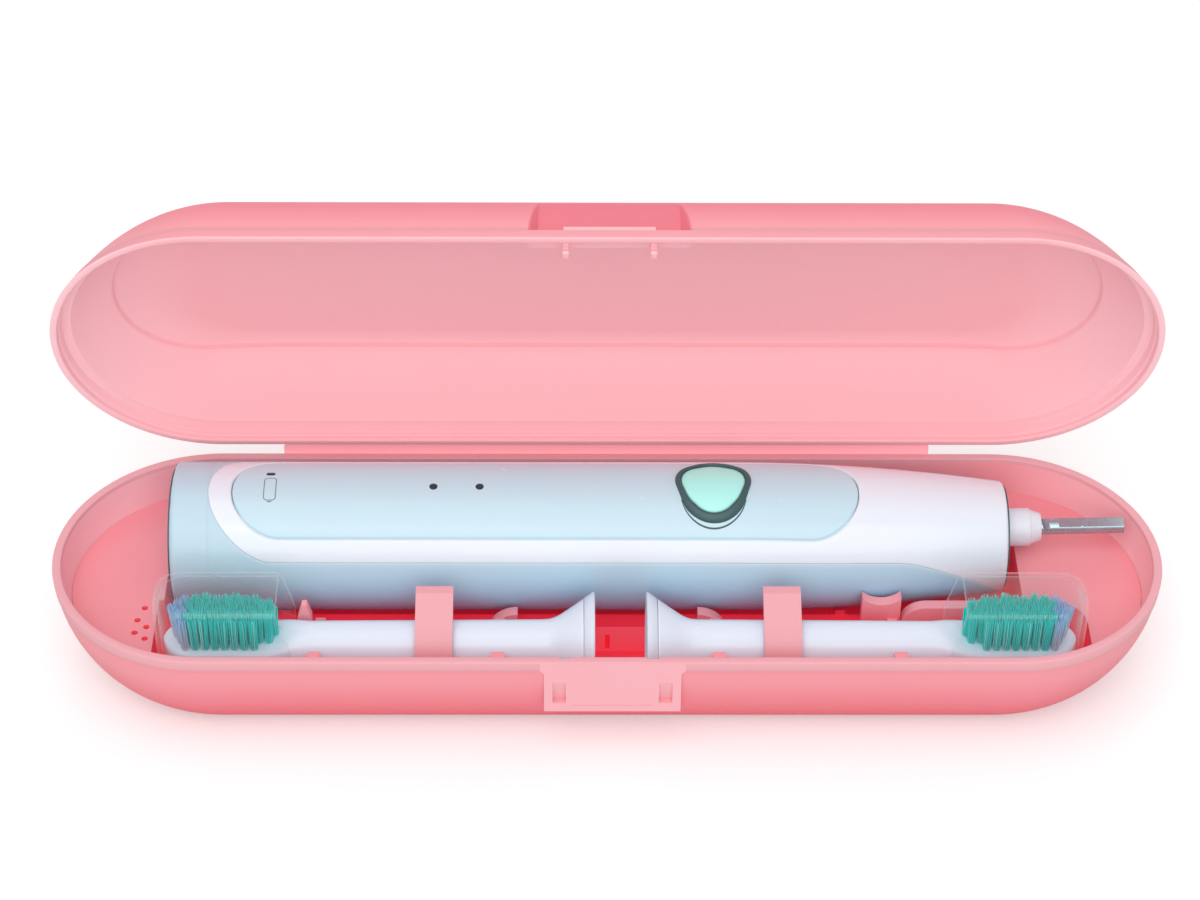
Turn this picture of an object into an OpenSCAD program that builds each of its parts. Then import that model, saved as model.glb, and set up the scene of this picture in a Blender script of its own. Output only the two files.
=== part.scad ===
// Travel case for an electric toothbrush: a hinged two-part shell that holds
// one powered handle and two brush heads, each head under a clear hood.
// Millimetres. +X runs along the case, +Y points to the hinge, +Z is up.
// The origin is the middle of the flat face that the case stands on.

/* [Case] */
// Length of the closed case
case_l = 225; // [215:1:240]
// Depth of the case, front to hinge side
case_w = 64; // [62:0.5:70]
// Height of the lower shell, floor to rim
base_h = 24; // [22:0.5:28]
// Height of the lid, rim to crown
lid_h = 20.4; // [20:0.1:28]
// Wall thickness of both shells
wall = 1.8; // [1.4:0.1:2.2]
// How far the lower shell's long sides lean in at the floor
base_side_in = 13; // [10:0.5:15]
// How far the lower shell's round ends lean in at the floor
base_end_in = 18.5; // [14:0.5:20]
// How far the lid's long sides lean in at the crown
lid_side_in = 13.9; // [10:0.1:18]
// How far the lid's round ends lean in at the crown
lid_end_in = 21.3; // [18:0.1:26]
// Angle by which the lid stands open
lid_open = 78.4; // [0:0.1:180]

/* [Hinge and catch] */
// Length of the moulded film hinge
hinge_l = 136; // [100:1:150]
// Distance of the fold line behind the shell's outer face
hinge_back = 1.25; // [1:0.05:2]
// Height of the fold line above the lower rim
hinge_up = 2.6; // [2:0.1:4]
// Width of the thumb pad on the front wall
pad_w = 27.6; // [20:0.2:34]
// Height of the thumb pad below the rim
pad_h = 13.2; // [8:0.2:16]
// Distance of each catch lug from the middle
lug_x = 8.6; // [6:0.1:12]

/* [Tray] */
// Height of the decks at both ends of the tray
deck_z = 16; // [12:0.5:18]
// Where the handle's bay begins, left of the middle
bay_left = 90.1; // [89.9:0.1:92]
// Where the handle's bay ends, right of the middle
bay_right = 84.6; // [84:0.1:88]
// Height of the wall between the two bays
divider_z = 8.6; // [6:0.2:9]
// Width of the snap clips over the necks
clip_w = 7.5; // [5:0.5:10]
// Distance of the snap clips from the middle
clip_x = 34.8; // [32:0.1:38]

/* [Handle] */
// Radius of the handle's grip
grip_r = 15.35; // [14.5:0.05:15.5]
// Radius of the handle at its brush end
nose_r = 11.45; // [10:0.05:12]
// Distance of the handle's foot from the middle
foot_x = 88.9; // [86:0.1:89.2]
// Distance of the handle's shoulder from the middle
nose_x = 81.8; // [80:0.1:83]
// Wall thickness of the handle's shells
grip_wall = 1.6; // [1.2:0.1:2]
// Roll of the handle towards the front of the case
handle_roll = 10; // [0:1:20]
// Travel of the power button
button_travel = 0.7; // [0.4:0.1:0.8]

/* [Brush heads] */
// Length of a brush head without its hood
head_l = 86.3; // [85:0.1:86.6]
// Radius of the flared coupling end
flare_r = 11.05; // [10:0.05:11.4]
// Radius of the neck next to the flare
neck_r = 5.3; // [4.8:0.1:5.4]
// Length of the bristles
bristle_l = 8; // [6:0.2:9]
// Thickness of the clear hood
hood_wall = 0.8; // [0.6:0.1:1]

/* [Hidden] */
$fn = 48;
eps = 0.01;
big = 300;

// shells
base_rise = 24.8;                 // height of the quarter ellipse of the lower shell
lid_rise = 57;                    // and of the lid, which stops well short of upright
floor_t = 1.8;
shell_steps = 9;
hinge_y = case_w / 2 + hinge_back;
hinge_z = base_h + hinge_up;
lid_gap = 0.15;                   // between the two rims when closed
leaf_gap = 0.4;                   // from the fold line to each hinge leaf
strip_t = 0.9;                    // thickness of the standing hinge strip
recess_w = 28;                    // width of the finger recess in the lid's front
recess_h = 14;
ledge_z = base_h + 3.2;           // lower edge of that recess
tongue_w = 18.2;
lug_drop = 2.4;                   // how far the catch lugs hang below the rim
crown_hl = 100.2;                 // half length and half width of the ceiling's sunk panel
crown_hw = 20.6;
crown_sink = 0.6;
vent_r = 0.65;

// bays
handle_y = 11.9;
handle_z = 18.35;
head_y = -16.7;
head_z = 14.2;
left_head_x = -2.7;
right_head_x = 7.6;
divider_front = -5.2;
divider_t = 3.8;
post_t = 2.4;                     // fins and posts that stand on the divider
cradle_x = [-58.6, -22, 22, 58.2];
horn_x = -61.2;                   // the one tall horn behind a neck
rest_x = [-66, -8, 48];
rest_half = 5;                    // the ribs stop short of the middle by this much
rest_gap = 0.2;

// handle
panel_hw = 10;                    // half width of the control panel
panel_x0 = -76;
panel_x1 = 51.6;
white_hw = 13.25;                 // half width of the white band
white_x0 = -81.2;
taper_x = 25;                     // where the grip begins to taper
groove = 0.15;
button_x = 21.8;
button_y = 1.1;                   // the button sits a little behind the front line
shaft_n = 3;                      // drive axis above the handle's axis at the shoulder
shaft_tilt = 2;
shaft_r = 1.65;
shaft_tip = 24.8;                 // length of shaft beyond the shoulder
seal_r = 3.95;
board_n = 6.5;
board_t = 1.2;

// heads
plate_s = [61.5, head_l];
plate_hw = 5.6;
plate_n = [-2.3, 2.7];
bed_t = 0.4;
hood_hw = 7.1;
hood_s = [60.4, head_l + 1.3];
hood_top = 14.8;
hood_r = 5.4;
ring_l = 2.2;                     // length of the ring at the flared end
cone_end = 8.4;
mouth_r = flare_r - 1.9;
bristle_s = [63.2, 81.2, 85];     // main field, tip field, end
hood_bottom = -2;

// ---------------------------------------------------------------- helpers

// outline with straight sides and half-round ends
module stadium(half_l, half_w) {
    square([2 * (half_l - half_w), 2 * half_w], center = true);
    for (side = [-1, 1]) translate([side * (half_l - half_w), 0]) circle(r = half_w);
}

// solid bowl whose wall follows a quarter ellipse up to its rim
module bowl(l, w, h, rise, side_in, end_in) {
    last = acos(1 - h / rise);
    hull() for (i = [0 : shell_steps]) {
        t = last * i / shell_steps;
        lean = (sin(last) - sin(t)) / sin(last);
        z = min(rise * (1 - cos(t)), h - eps);
        translate([0, 0, z]) linear_extrude(eps)
            stadium(l / 2 - end_in * lean, w / 2 - side_in * lean);
    }
}

module base_cavity(shrink = 0) {
    t = wall + shrink;
    translate([0, 0, floor_t + shrink])
        bowl(case_l - 2 * t, case_w - 2 * t, base_h - floor_t - shrink + 2 * eps,
             base_rise - floor_t, base_side_in, base_end_in);
}

// closed lid stands rim down on the lower rim
module lid_bowl(inset) {
    translate([0, 0, base_h + lid_h - inset]) mirror([0, 0, 1])
        bowl(case_l - 2 * inset, case_w - 2 * inset, lid_h - inset - lid_gap + (inset > 0 ? eps : 0),
             lid_rise - inset, lid_side_in, lid_end_in);
}

module opened() {
    translate([0, hinge_y, hinge_z]) rotate([-lid_open, 0, 0])
        translate([0, -hinge_y, -hinge_z]) children();
}

// block centred on x between two corners in y and z
module bar(l, y0, y1, z0, z1) {
    translate([-l / 2, y0, z0]) cube([l, y1 - y0, z1 - z0]);
}

// cylinder along x
module rod(x0, x1, r) {
    translate([x0, 0, 0]) rotate([0, 90, 0]) cylinder(h = x1 - x0, r = r);
}

// outline in the y-z plane, extruded along x
module slab_x(x0, x1) {
    translate([x0, 0, 0]) rotate([90, 0, 90]) linear_extrude(x1 - x0) children();
}

// outline in the x-z plane, extruded along y
module slab_y(y0, y1) {
    translate([0, y1, 0]) rotate([90, 0, 0]) linear_extrude(y1 - y0) children();
}

function arc(cx, cy, r, a0, a1, n) = [for (i = [0 : n])
    let (a = a0 + (a1 - a0) * i / n) [cx + r * cos(a), cy + r * sin(a)]];

// ---------------------------------------------------------------- case

module base_shell() color("lightpink") difference() {
    union() {
        bowl(case_l, case_w, base_h, base_rise, base_side_in, base_end_in);
        hinge_land();
        thumb_pad();
    }
    base_cavity();
    pad_ramps();
    lug_channels();
}

// ledge under the rim that carries the standing hinge strip
module hinge_land() {
    strip_out = hinge_y - 0.05;
    strip_in = strip_out - strip_t;
    top = hinge_z - leaf_gap;
    difference() {
        union() {
            bar(hinge_l, case_w / 2 - 1.2, strip_out, base_h - 1.6, base_h - eps);
            bar(hinge_l, strip_in, strip_out, base_h - 1.6, top);
        }
        for (side = [-1, 1]) translate([side * hinge_l / 2, hinge_y + 1, base_h + 1.2])
            rotate([90, 0, 0]) cylinder(h = 4, r = 1.1);
    }
}

// flat pad that stays upright while the wall curves away below it
module thumb_pad() {
    fillet = 2;
    intersection() {
        slab_y(-case_w / 2 - 0.02, -case_w / 2 + 6) difference() {
            union() {
                translate([-pad_w / 2, base_h - pad_h]) square([pad_w, pad_h - eps]);
                translate([-pad_w / 2 - fillet, base_h - 2.4 - fillet])
                    square([pad_w + 2 * fillet, fillet]);
            }
            for (side = [-1, 1])
                translate([side * (pad_w / 2 + fillet), base_h - 2.4 - fillet]) circle(r = fillet);
        }
        bar(pad_w + 2 * fillet, -case_w, 0, base_h - pad_h, base_h);
    }
}

// two shallow ramps in the pad, deepest at the lower end
module pad_ramps() {
    ramp_w = 2.6;
    ramp_h = 5.4;
    for (side = [-1, 1])
        translate([side * 10.6, 0, 0]) slab_x(-ramp_w / 2, ramp_w / 2)
            polygon([[-case_w / 2 - 1, 13.1], [-case_w / 2 + 1.1, 13.1],
                     [-case_w / 2 + 0.05, 13.1 + ramp_h], [-case_w / 2 - 1, 13.1 + ramp_h]]);
}

// grooves inside the front wall in which the catch lugs run
module lug_channels() {
    for (side = [-1, 1]) translate([side * lug_x, 0, 0])
        bar(2.4, -case_w / 2 + wall - 0.7, -case_w / 2 + wall + 1.5, base_h - 4.2, base_h + 1);
}

module case_lid() color("pink") opened() {
    difference() {
        union() {
            difference() {
                lid_bowl(0);
                lid_bowl(wall);
                crown_panel();
                rim_step();
            }
            intersection() {
                lid_bowl(0);
                recess_space(recess_w + 3.4, 1.7, base_h + 2);
            }
            hinge_leaf();
        }
        finger_recess();
    }
    catch_lugs();
}

// leaf on the lid's outer face, above the fold line
module hinge_leaf() {
    bar(hinge_l, case_w / 2 - 1.6, hinge_y - 0.05, hinge_z + leaf_gap, hinge_z + leaf_gap + 1.6);
}

// recess for a fingertip, with a low tongue left standing in it
module finger_recess() {
    difference() {
        recess_space(recess_w, 0, ledge_z);
        bar(tongue_w, -case_w / 2 + 0.9, 0, ledge_z - 1, ledge_z + 1);
    }
}

// all that lies in front of the recess's floor, which leans back with the wall
module recess_space(l, behind, z0) {
    slope = 0.25;
    floor_y = -case_w / 2 + 3.4 + behind;
    slab_x(-l / 2, l / 2)
        polygon([[-case_w, z0], [floor_y + slope * (z0 - ledge_z), z0],
                 [floor_y + slope * recess_h, ledge_z + recess_h], [-case_w, ledge_z + recess_h]]);
}

// shallow panel sunk into the ceiling
module crown_panel() {
    intersection() {
        lid_bowl(wall - crown_sink);
        translate([0, 0, base_h + 6]) linear_extrude(lid_h) stadium(crown_hl, crown_hw);
    }
}

// the inside of the rim steps back over the first millimetres
module rim_step() {
    translate([0, 0, base_h - 1]) linear_extrude(5) difference() {
        stadium(case_l / 2 - wall + 0.35, case_w / 2 - wall + 0.35);
        stadium(case_l / 2 - wall - 4, case_w / 2 - wall - 4);
    }
}

// two lugs that hang below the rim and run in the front wall's grooves
module catch_lugs() {
    face = -case_w / 2 + wall + 0.55;
    for (side = [-1, 1]) translate([side * lug_x, 0, 0]) {
        bar(1.5, face, face + 1.3, base_h - lug_drop, base_h + 4);
        bar(1.5, face - 0.45, face + eps, base_h - lug_drop, base_h - lug_drop + 0.9);
        bar(1.5, face - 1.2, face + eps, base_h + 1.2, base_h + 4);
    }
}

// thin film that joins the strip to the leaf, shown at the open position
module hinge_film() color("lightpink") {
    y1 = hinge_y - 0.05;
    z1 = hinge_z - leaf_gap;
    slab_x(-hinge_l / 2 + 1.4, hinge_l / 2 - 1.4)
        polygon([[y1 - 0.6, z1 + 0.02], [y1, z1 + 0.02], [y1 + 0.36, z1 + 0.48],
                 [y1 + 0.22, z1 + 1.05], [y1 - 0.1, z1 + 0.75]]);
}

// ---------------------------------------------------------------- tray

module in_cavity() {
    intersection() {
        base_cavity(0.03);
        children();
    }
}

module left_deck() color("hotpink") difference() {
    in_cavity() linear_extrude(deck_z) left_deck_plan();
    translate([0, 0, -1]) linear_extrude(deck_z - 0.6) offset(delta = -1) left_deck_plan();
    for (p = [[-93.8, -7.6], [-94.9, -11.2], [-95.1, -14.9], [-92.9, -13.2], [-92.9, -16.6]])
        translate([p[0], p[1], 0]) cylinder(h = deck_z + 1, r = vent_r);
}

// the deck steps back where the left-hand hood lies
module left_deck_plan() {
    step = 1.1;
    translate([-case_l - bay_left, divider_front]) square([case_l, case_w]);
    translate([-case_l - bay_left - step, -case_w]) square([case_l, 2 * case_w]);
}

module right_deck() color("hotpink") difference() {
    in_cavity() difference() {
        translate([bay_right, -case_w, 0]) cube([case_l, 2 * case_w, deck_z]);
        hood_pocket();
    }
    difference() {
        translate([bay_right + 1.4, -case_w, -1]) cube([case_l, 2 * case_w, deck_z - 0.6]);
        hood_pocket(1.4);
    }
}

// plan of the space that the right-hand hood lies in
module hood_pocket(grow = 0) {
    corner = 7;
    x1 = 97 + grow;
    y1 = divider_front + grow;
    translate([0, 0, -1]) linear_extrude(case_w) {
        translate([0, -case_w]) square([x1, case_w + y1 - corner]);
        translate([0, -case_w]) square([x1 - corner, case_w + y1]);
        translate([x1 - corner, y1 - corner]) circle(r = corner);
    }
}

// low wall between the bays; it rises in a quarter round next to the right deck
module bay_divider() color("hotpink") in_cavity() {
    rise_r = 5.2;
    rise_x = 65.1;
    difference() {
        slab_y(divider_front, divider_front + divider_t)
            translate([-bay_left + 0.05, 0]) square([bay_left + bay_right - 0.1, divider_z]);
        slab_y(divider_front - 1, divider_front + 1.2) translate([-0.5, 2.6]) square([1, 3.8]);
    }
    slab_y(divider_front, divider_front + post_t) {
        translate([rise_x, divider_z - eps]) square([bay_right - rise_x - 0.05, rise_r + eps]);
        intersection() {
            translate([rise_x, divider_z]) circle(r = rise_r);
            translate([rise_x - rise_r, divider_z - eps]) square([rise_r + 1, rise_r + eps]);
        }
    }
    for (side = [-1, 1]) fin(side * 20.8, side);
}

// quarter-round fin on the divider, behind each neck
module fin(x, side) {
    r = 6;
    sunk = 2.6;
    slab_y(divider_front, divider_front + post_t) intersection() {
        translate([x + side * -2.4, divider_z - sunk]) circle(r = r);
        translate([side > 0 ? x - 2.4 : x - 3.6, divider_z - 1]) square([r, r]);
    }
}

// ribs under the handle, hollowed to its radius
module handle_rests() color("hotpink") in_cavity() difference() {
    for (x = rest_x) translate([x - 1, 0, 0]) difference() {
        translate([0, divider_front + divider_t + 0.05, 0]) cube([2, 40, 9]);
        translate([-1, handle_y - rest_half, 0]) cube([4, 2 * rest_half, 9]);
    }
    handle_frame() rod(-big / 2, big / 2, grip_r + rest_gap);
}

// ribs that locate the necks between two horns
module neck_cradles() color("hotpink") in_cavity() difference() {
    union() {
        for (x = cradle_x) {
            translate([x - 1, -40, 0]) cube([2, 40 + divider_front - 0.05, head_z - 3]);
            translate([x - 1.3, head_y - 7.3, 0]) cube([2.6, 1.6, 17.9]);
        }
        tall_horn();
    }
    translate([0, head_y, head_z]) rod(-big / 2, big / 2, neck_r + rest_gap);
}

// pointed horn behind the left-hand neck
module tall_horn() {
    slab_y(head_y + 5.9, head_y + 7.6) translate([horn_x, 0])
        polygon([[-1.4, 0], [1.4, 0], [1.4, 16.4], [0.5, 19.6], [-0.5, 19.6], [-1.4, 16.4]]);
    translate([horn_x - 1, head_y + 5.9, 0]) cube([2, divider_front - head_y - 5.95, 8]);
}

// small post with a hollow top behind the right-hand neck
module neck_prop() color("hotpink") in_cavity()
    slab_y(divider_front, divider_front + post_t) difference() {
        translate([51.9, divider_z + 0.02]) square([7.9, 16.5 - divider_z]);
        translate([55.85, 20]) circle(r = 5.3);
    }

// spring clip: a leg in front of the neck that curls over it and ends in a lip
module clip(x) {
    gap = 0.4;
    t = 1.3;
    r0 = neck_r + gap;
    r1 = r0 + t;
    lip_y = head_y + 6.9;
    lip_z = head_z + 10.5;
    in_cavity() slab_x(x - clip_w / 2, x + clip_w / 2)
        polygon(concat(
            [[head_y - r1 - 0.5, 0], [head_y - r1, head_z - 3]],
            arc(head_y, head_z, r1, 190, 108, 14),
            [[lip_y - 0.35, lip_z + 0.1], [lip_y + 0.2, lip_z - t + 0.2]],
            arc(head_y, head_z, r0, 96, 190, 14),
            [[head_y - r0 + 0.1, head_z - 3], [head_y - r0 + 0.6, 0]]));
}

module left_clip() color("pink") clip(-clip_x);

module right_clip() color("pink") clip(clip_x);

// ---------------------------------------------------------------- handle

module handle_frame() {
    translate([0, handle_y, handle_z]) rotate([handle_roll, 0, 0]) children();
}

function grip_at(x) = x < taper_x ? grip_r
    : grip_r - (grip_r - nose_r) * pow((x - taper_x) / (nose_x - taper_x), 2);

// the handle's outer form, or the same form drawn in by a distance
module grip_form(inset = 0) {
    edge = 1.2;
    x0 = -foot_x + inset;
    x1 = nose_x - inset;
    steps = 10;
    corner = arc(grip_r - inset - edge, x0 + edge, edge, -90, 0, 5);
    taper = [for (i = [0 : steps])
        let (x = taper_x + (x1 - 0.6 - taper_x) * i / steps) [grip_at(x) - inset, x]];
    rotate([0, 90, 0]) rotate_extrude($fn = 72)
        polygon(concat([[0, x0]], corner, taper, [[grip_at(x1) - inset - 0.8, x1], [0, x1]]));
}

// space that the white shell takes: a round-ended band in front, the whole nose behind it
module white_zone(grow = 0) {
    n0 = sqrt(pow(grip_r, 2) - pow(white_hw, 2));
    linear_extrude(2 * grip_r) offset(delta = grow) {
        translate([(white_x0 + white_hw + taper_x) / 2, 0])
            square([taper_x - white_x0 - white_hw, 2 * white_hw], center = true);
        translate([white_x0 + white_hw, 0]) circle(r = white_hw);
    }
    slab_y(-2 * grip_r, 2 * grip_r) offset(delta = grow)
        polygon([[taper_x, n0], [46, 7.2], [61, 6.3], [65, 5.2], [68, 4], [72, 2.2], [76, -0.2],
                 [79.5, -3.2], [nose_x + 1, -8.2], [nose_x + 1, 2 * grip_r], [taper_x, 2 * grip_r]]);
}

module panel_outline(grow) {
    translate([(panel_x0 + panel_x1) / 2, 0])
        stadium((panel_x1 - panel_x0) / 2 + grow, panel_hw + grow);
}

module grip_tube() {
    difference() {
        grip_form();
        grip_form(grip_wall);
        rod(-foot_x - 1, -foot_x + 3, 12.05);
        drive_axis() rod(-4, 4, seal_r + 0.05);
    }
}

// frame whose x axis is the drive axis, zero at the shoulder
module drive_axis() {
    translate([nose_x, 0, shaft_n]) rotate([0, -shaft_tilt, 0]) children();
}

module rear_shell() color("lightsteelblue") handle_frame() difference() {
    grip_tube();
    white_zone(0.03);
}

module front_shell() color("white") handle_frame() difference() {
    intersection() {
        grip_tube();
        white_zone();
    }
    panel_seat(groove);
    lens_bores(0.05);
    linear_extrude(big / 2) button_outline(0.1 - 0.9);
}

// the sunk bed that the thin panel lies in
module panel_seat(grow) {
    difference() {
        linear_extrude(2 * grip_r) panel_outline(grow);
        grip_form(0.6);
    }
}

module control_panel() color("lightblue") handle_frame() difference() {
    intersection() {
        difference() {
            grip_form();
            grip_form(0.55);
        }
        linear_extrude(2 * grip_r) panel_outline(0);
    }
    lens_bores(0.05);
    linear_extrude(big / 2) button_outline(0.1);
}

// rounded triangle with its point towards the front; zero is the seal's outer edge
module button_outline(grow) {
    translate([button_x, button_y]) hull() {
        for (side = [-1, 1]) translate([side * 3.05, 1.9]) circle(r = 5 + grow, $fn = 40);
        translate([0, -3.3]) circle(r = 5.2 + grow, $fn = 40);
        translate([0, 0.3]) circle(r = 7.2 + grow, $fn = 40);
    }
}

module button_seal() color("darkslategray") handle_frame() difference() {
    intersection() {
        translate([0, 0, 12]) linear_extrude(4) button_outline(0);
        translate([button_x, 0, -5.6]) sphere(r = 21.5, $fn = 72);
    }
    linear_extrude(big / 2) button_outline(-1.15);
    grip_form(0.55);
}

module power_button() color("aquamarine") handle_frame() {
    intersection() {
        translate([0, 0, 13.2]) linear_extrude(4) button_outline(-1.45);
        translate([button_x, 0, -5.1]) sphere(r = 21.5, $fn = 72);
    }
    translate([button_x, button_y, 11.7 + button_travel]) cylinder(h = 2, r = 2);
}

module lens_bores(grow) {
    mode_pipes(grow);
    charge_pipe(grow);
}

module mode_pipes(grow) {
    for (x = [-35.5, -26.1]) translate([x, 0.6, 9.2]) cylinder(h = 10, r = 0.85 + grow);
}

module charge_pipe(grow) {
    translate([-68.8, 4.4, 9.2]) linear_extrude(10) stadium(0.95 + grow, 0.5 + grow);
}

module mode_lenses() color("darkslategray") handle_frame() intersection() {
    mode_pipes(0);
    grip_form();
}

module charge_lens() color("darkslategray") handle_frame() intersection() {
    charge_pipe(0);
    grip_form();
}

module end_cap() color("lightsteelblue") handle_frame() {
    rod(-foot_x, -foot_x + 1.6, 12);
    rod(-foot_x + 1.6 - eps, -foot_x + 4.4, 11.4);
}

module end_cap_seal() color("dimgray") handle_frame()
    translate([-foot_x + 3.1, 0, 0]) rotate([0, 90, 0]) rotate_extrude()
        translate([12.575, 0]) circle(r = 1.15, $fn = 24);

module charging_coil() color("orange") handle_frame() difference() {
    rod(-84.1, -76.6, 12.4);
    rod(-85, -76, 8.2);
}

module battery_cell() color("silver") handle_frame() translate([0, 0, -4.6]) {
    rod(-71, -21.4, 7.1);
    rod(-21.4 - eps, -20.4, 2.6);
}

// inner frame: a deck for the board and a bulkhead at each end
module chassis() color("gainsboro") handle_frame() {
    bar_n(-74.5, 42, 8.6, 4.6, 5.7);
    difference() {
        union() {
            rod(-76, -74.5 + eps, 13.2);
            rod(42 - eps, 43.6, 12.9);
        }
        rod(-77, 45, 3);
    }
    for (x = [-60, -10, 34], side = [-1, 1]) translate([x, side * 6, 5.7 - eps])
        cylinder(h = board_n - 5.7 + eps - 0.02, r = 1);
}

module bar_n(x0, x1, half_w, n0, n1) {
    translate([x0, -half_w, n0]) cube([x1 - x0, 2 * half_w, n1 - n0]);
}

module circuit_board() color("darkgreen") handle_frame() {
    bar_n(-73, 40, 7.6, board_n, board_n + board_t);
    for (x = [-68.8, -35.5, -26.1]) translate([x, x < -60 ? 4.4 : 0.6, board_n + board_t - eps])
        translate([-0.8, -0.8, 0]) cube([1.6, 1.6, 0.9]);
    bar_n(-12, -4, 4, board_n + board_t - eps, board_n + board_t + 1.4);
}

module push_switch() color("black") handle_frame() translate([button_x, button_y, 0]) {
    bar_n(-3, 3, 3, board_n + board_t + 0.02, 10.9);
    translate([0, 0, 10.9 - eps]) cylinder(h = 0.5, r = 1.6);
}

module drive_unit() color("gray") handle_frame() drive_axis() difference() {
    union() {
        rod(-37, -9, 7.6);
        rod(-9 - eps, -7, 3.4);
    }
    rod(-30, -6, shaft_r + 0.06);
}

module shaft_seal() color("whitesmoke") handle_frame() drive_axis() difference() {
    union() {
        rod(-3.2, 5.4, seal_r);
        translate([5.4 - eps, 0, 0]) rotate([0, 90, 0]) cylinder(h = 2.3, r1 = seal_r - 0.3, r2 = 2.8);
    }
    rod(-4, 9, shaft_r + 0.06);
}

// steel shaft with one flat, a locking notch and a ring mark
module drive_shaft() color("lightgray") handle_frame() drive_axis() difference() {
    rod(-28, shaft_tip, shaft_r);
    translate([11.4, -3, 1.15]) cube([20, 6, 3]);
    translate([8.4, -3, 0.6]) rotate([0, -25, 0]) cube([1.3, 6, 3]);
    difference() {
        rod(16, 16.35, 3);
        rod(15, 17, shaft_r - 0.15);
    }
}

// ---------------------------------------------------------------- heads

// local x runs from the flared end to the tip; the bristles point up
module left_frame() {
    translate([left_head_x, head_y, head_z]) mirror([1, 0, 0]) children();
}

module right_frame() {
    translate([right_head_x, head_y, head_z]) children();
}

module turned(points) {
    rotate([0, 90, 0]) rotate_extrude($fn = 64) polygon(points);
}

module neck() {
    difference() {
        union() {
            turned([[0, ring_l], [flare_at(ring_l) - 0.05, ring_l], [neck_r, cone_end],
                    [neck_r - 0.3, 57], [4.4, 60.4], [2.6, 62.4], [1.9, 66], [0, 66]]);
            plate_form();
        }
        turned([[0, 0], [mouth_r, 0], [3.9, 8], [3.4, 9], [0, 9]]);
        rod(8, 23, 3.3);
    }
}

// oval plate that carries the bristles; the neck runs out inside it
module plate_form() {
    mid = (plate_s[0] + plate_s[1]) / 2;
    half = (plate_s[1] - plate_s[0]) / 2;
    hull() {
        translate([mid, 0, plate_n[0]]) linear_extrude(0.6) stadium(half - 0.8, plate_hw - 1.2, $fn = 32);
        translate([mid, 0, plate_n[0] + 1.4]) linear_extrude(plate_n[1] - plate_n[0] - 1.4)
            stadium(half, plate_hw, $fn = 32);
    }
}

module ring() {
    end = ring_l - 0.05;
    turned([[mouth_r + 0.02, 0], [flare_r - 0.45, 0], [flare_at(0.35), 0.35], [flare_at(end), end],
            [mouth_at(end) + 0.02, end]]);
}

// outer and inner radius of the flared end
function flare_at(s) = flare_r + (neck_r - flare_r) * s / cone_end;
function mouth_at(s) = mouth_r + (3.9 - mouth_r) * s / 8;

module core() {
    difference() {
        rod(9.1, 22.9, 3.25);
        rod(9, 21, shaft_r + 0.1);
    }
}

// tuft positions: staggered rows inside an oval
tuft_gap = 1.95;
tuft_r = 0.8;
function tufts(s0, s1) = [for (i = [0 : 13], j = [-2 : 2])
    let (s = bristle_s[0] + tuft_r + i * tuft_gap + (j % 2 == 0 ? 0 : tuft_gap / 2), y = j * 1.8)
    if (s - tuft_r >= s0 - eps && s + tuft_r <= s1 + eps && oval(s, y) < 1) [s, y]];
function oval(s, y) = pow((s - (bristle_s[0] + bristle_s[2]) / 2) / 11, 2) + pow(y / 4.9, 2);

module bristle_field(s0, s1) {
    top = plate_n[1] + 0.02;
    intersection() {
        translate([(s0 + s1) / 2, 0, top + bed_t / 2]) cube([s1 - s0, 10, bed_t], center = true);
        translate([(bristle_s[0] + bristle_s[2]) / 2, 0, 0]) linear_extrude(20) stadium(11.5, 5);
    }
    for (p = tufts(s0, s1)) translate([p[0], p[1], top + bed_t - eps])
        cylinder(h = bristle_l - bed_t + 0.35 * cos(p[0] * 60) - 0.03 * pow(p[1], 2), r = tuft_r, $fn = 16);
}

module hood() {
    mid = (hood_s[0] - 8 + hood_s[1]) / 2;
    half = (hood_s[1] - hood_s[0] + 8) / 2;
    h = hood_top - hood_bottom;
    difference() {
        hull() for (z = [0, 1])
            translate([mid, 0, hood_bottom]) linear_extrude(h - 2.2 * (1 - z))
                hood_plan(half - 1.2 * z, hood_hw - 1.2 * z, hood_r);
        translate([0, 0, -hood_wall]) hull() for (z = [0, 1])
            translate([mid, 0, hood_bottom - 1]) linear_extrude(h + 1 - 2.2 * (1 - z))
                hood_plan(half - hood_wall - 1.2 * z, hood_hw - hood_wall - 1.2 * z,
                          hood_r - hood_wall);
        translate([hood_s[0], 0, 0]) rotate([0, 0, 180]) translate([-0.1, -20, -20]) cube([20, 40, 60]);
        translate([hood_s[0], -20, 6.4]) rotate([0, 15, 0]) translate([-9, 0, 0]) cube([9, 40, 30]);
    }
}

module hood_plan(half_l, half_w, r) {
    square([2 * half_l, 2 * (half_w - r)], center = true);
    square([2 * (half_l - r), 2 * half_w], center = true);
    for (sx = [-1, 1], sy = [-1, 1])
        translate([sx * (half_l - r), sy * (half_w - r)]) circle(r = r, $fn = 32);
}

module left_neck() color("white") left_frame() neck();

module left_ring() color("gainsboro") left_frame() ring();

module left_core() color("silver") left_frame() core();

module left_bristles() color("mediumturquoise") left_frame() bristle_field(bristle_s[0], bristle_s[1]);

module left_tip_bristles() color("steelblue") left_frame() bristle_field(bristle_s[1] + 0.1, bristle_s[2]);

module left_hood() color("azure") left_frame() hood();

module right_neck() color("white") right_frame() neck();

module right_ring() color("gainsboro") right_frame() ring();

module right_core() color("silver") right_frame() core();

module right_bristles() color("mediumturquoise") right_frame() bristle_field(bristle_s[0], bristle_s[1]);

module right_tip_bristles() color("steelblue") right_frame() bristle_field(bristle_s[1] + 0.1, bristle_s[2]);

module right_hood() color("azure") right_frame() hood();

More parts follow.
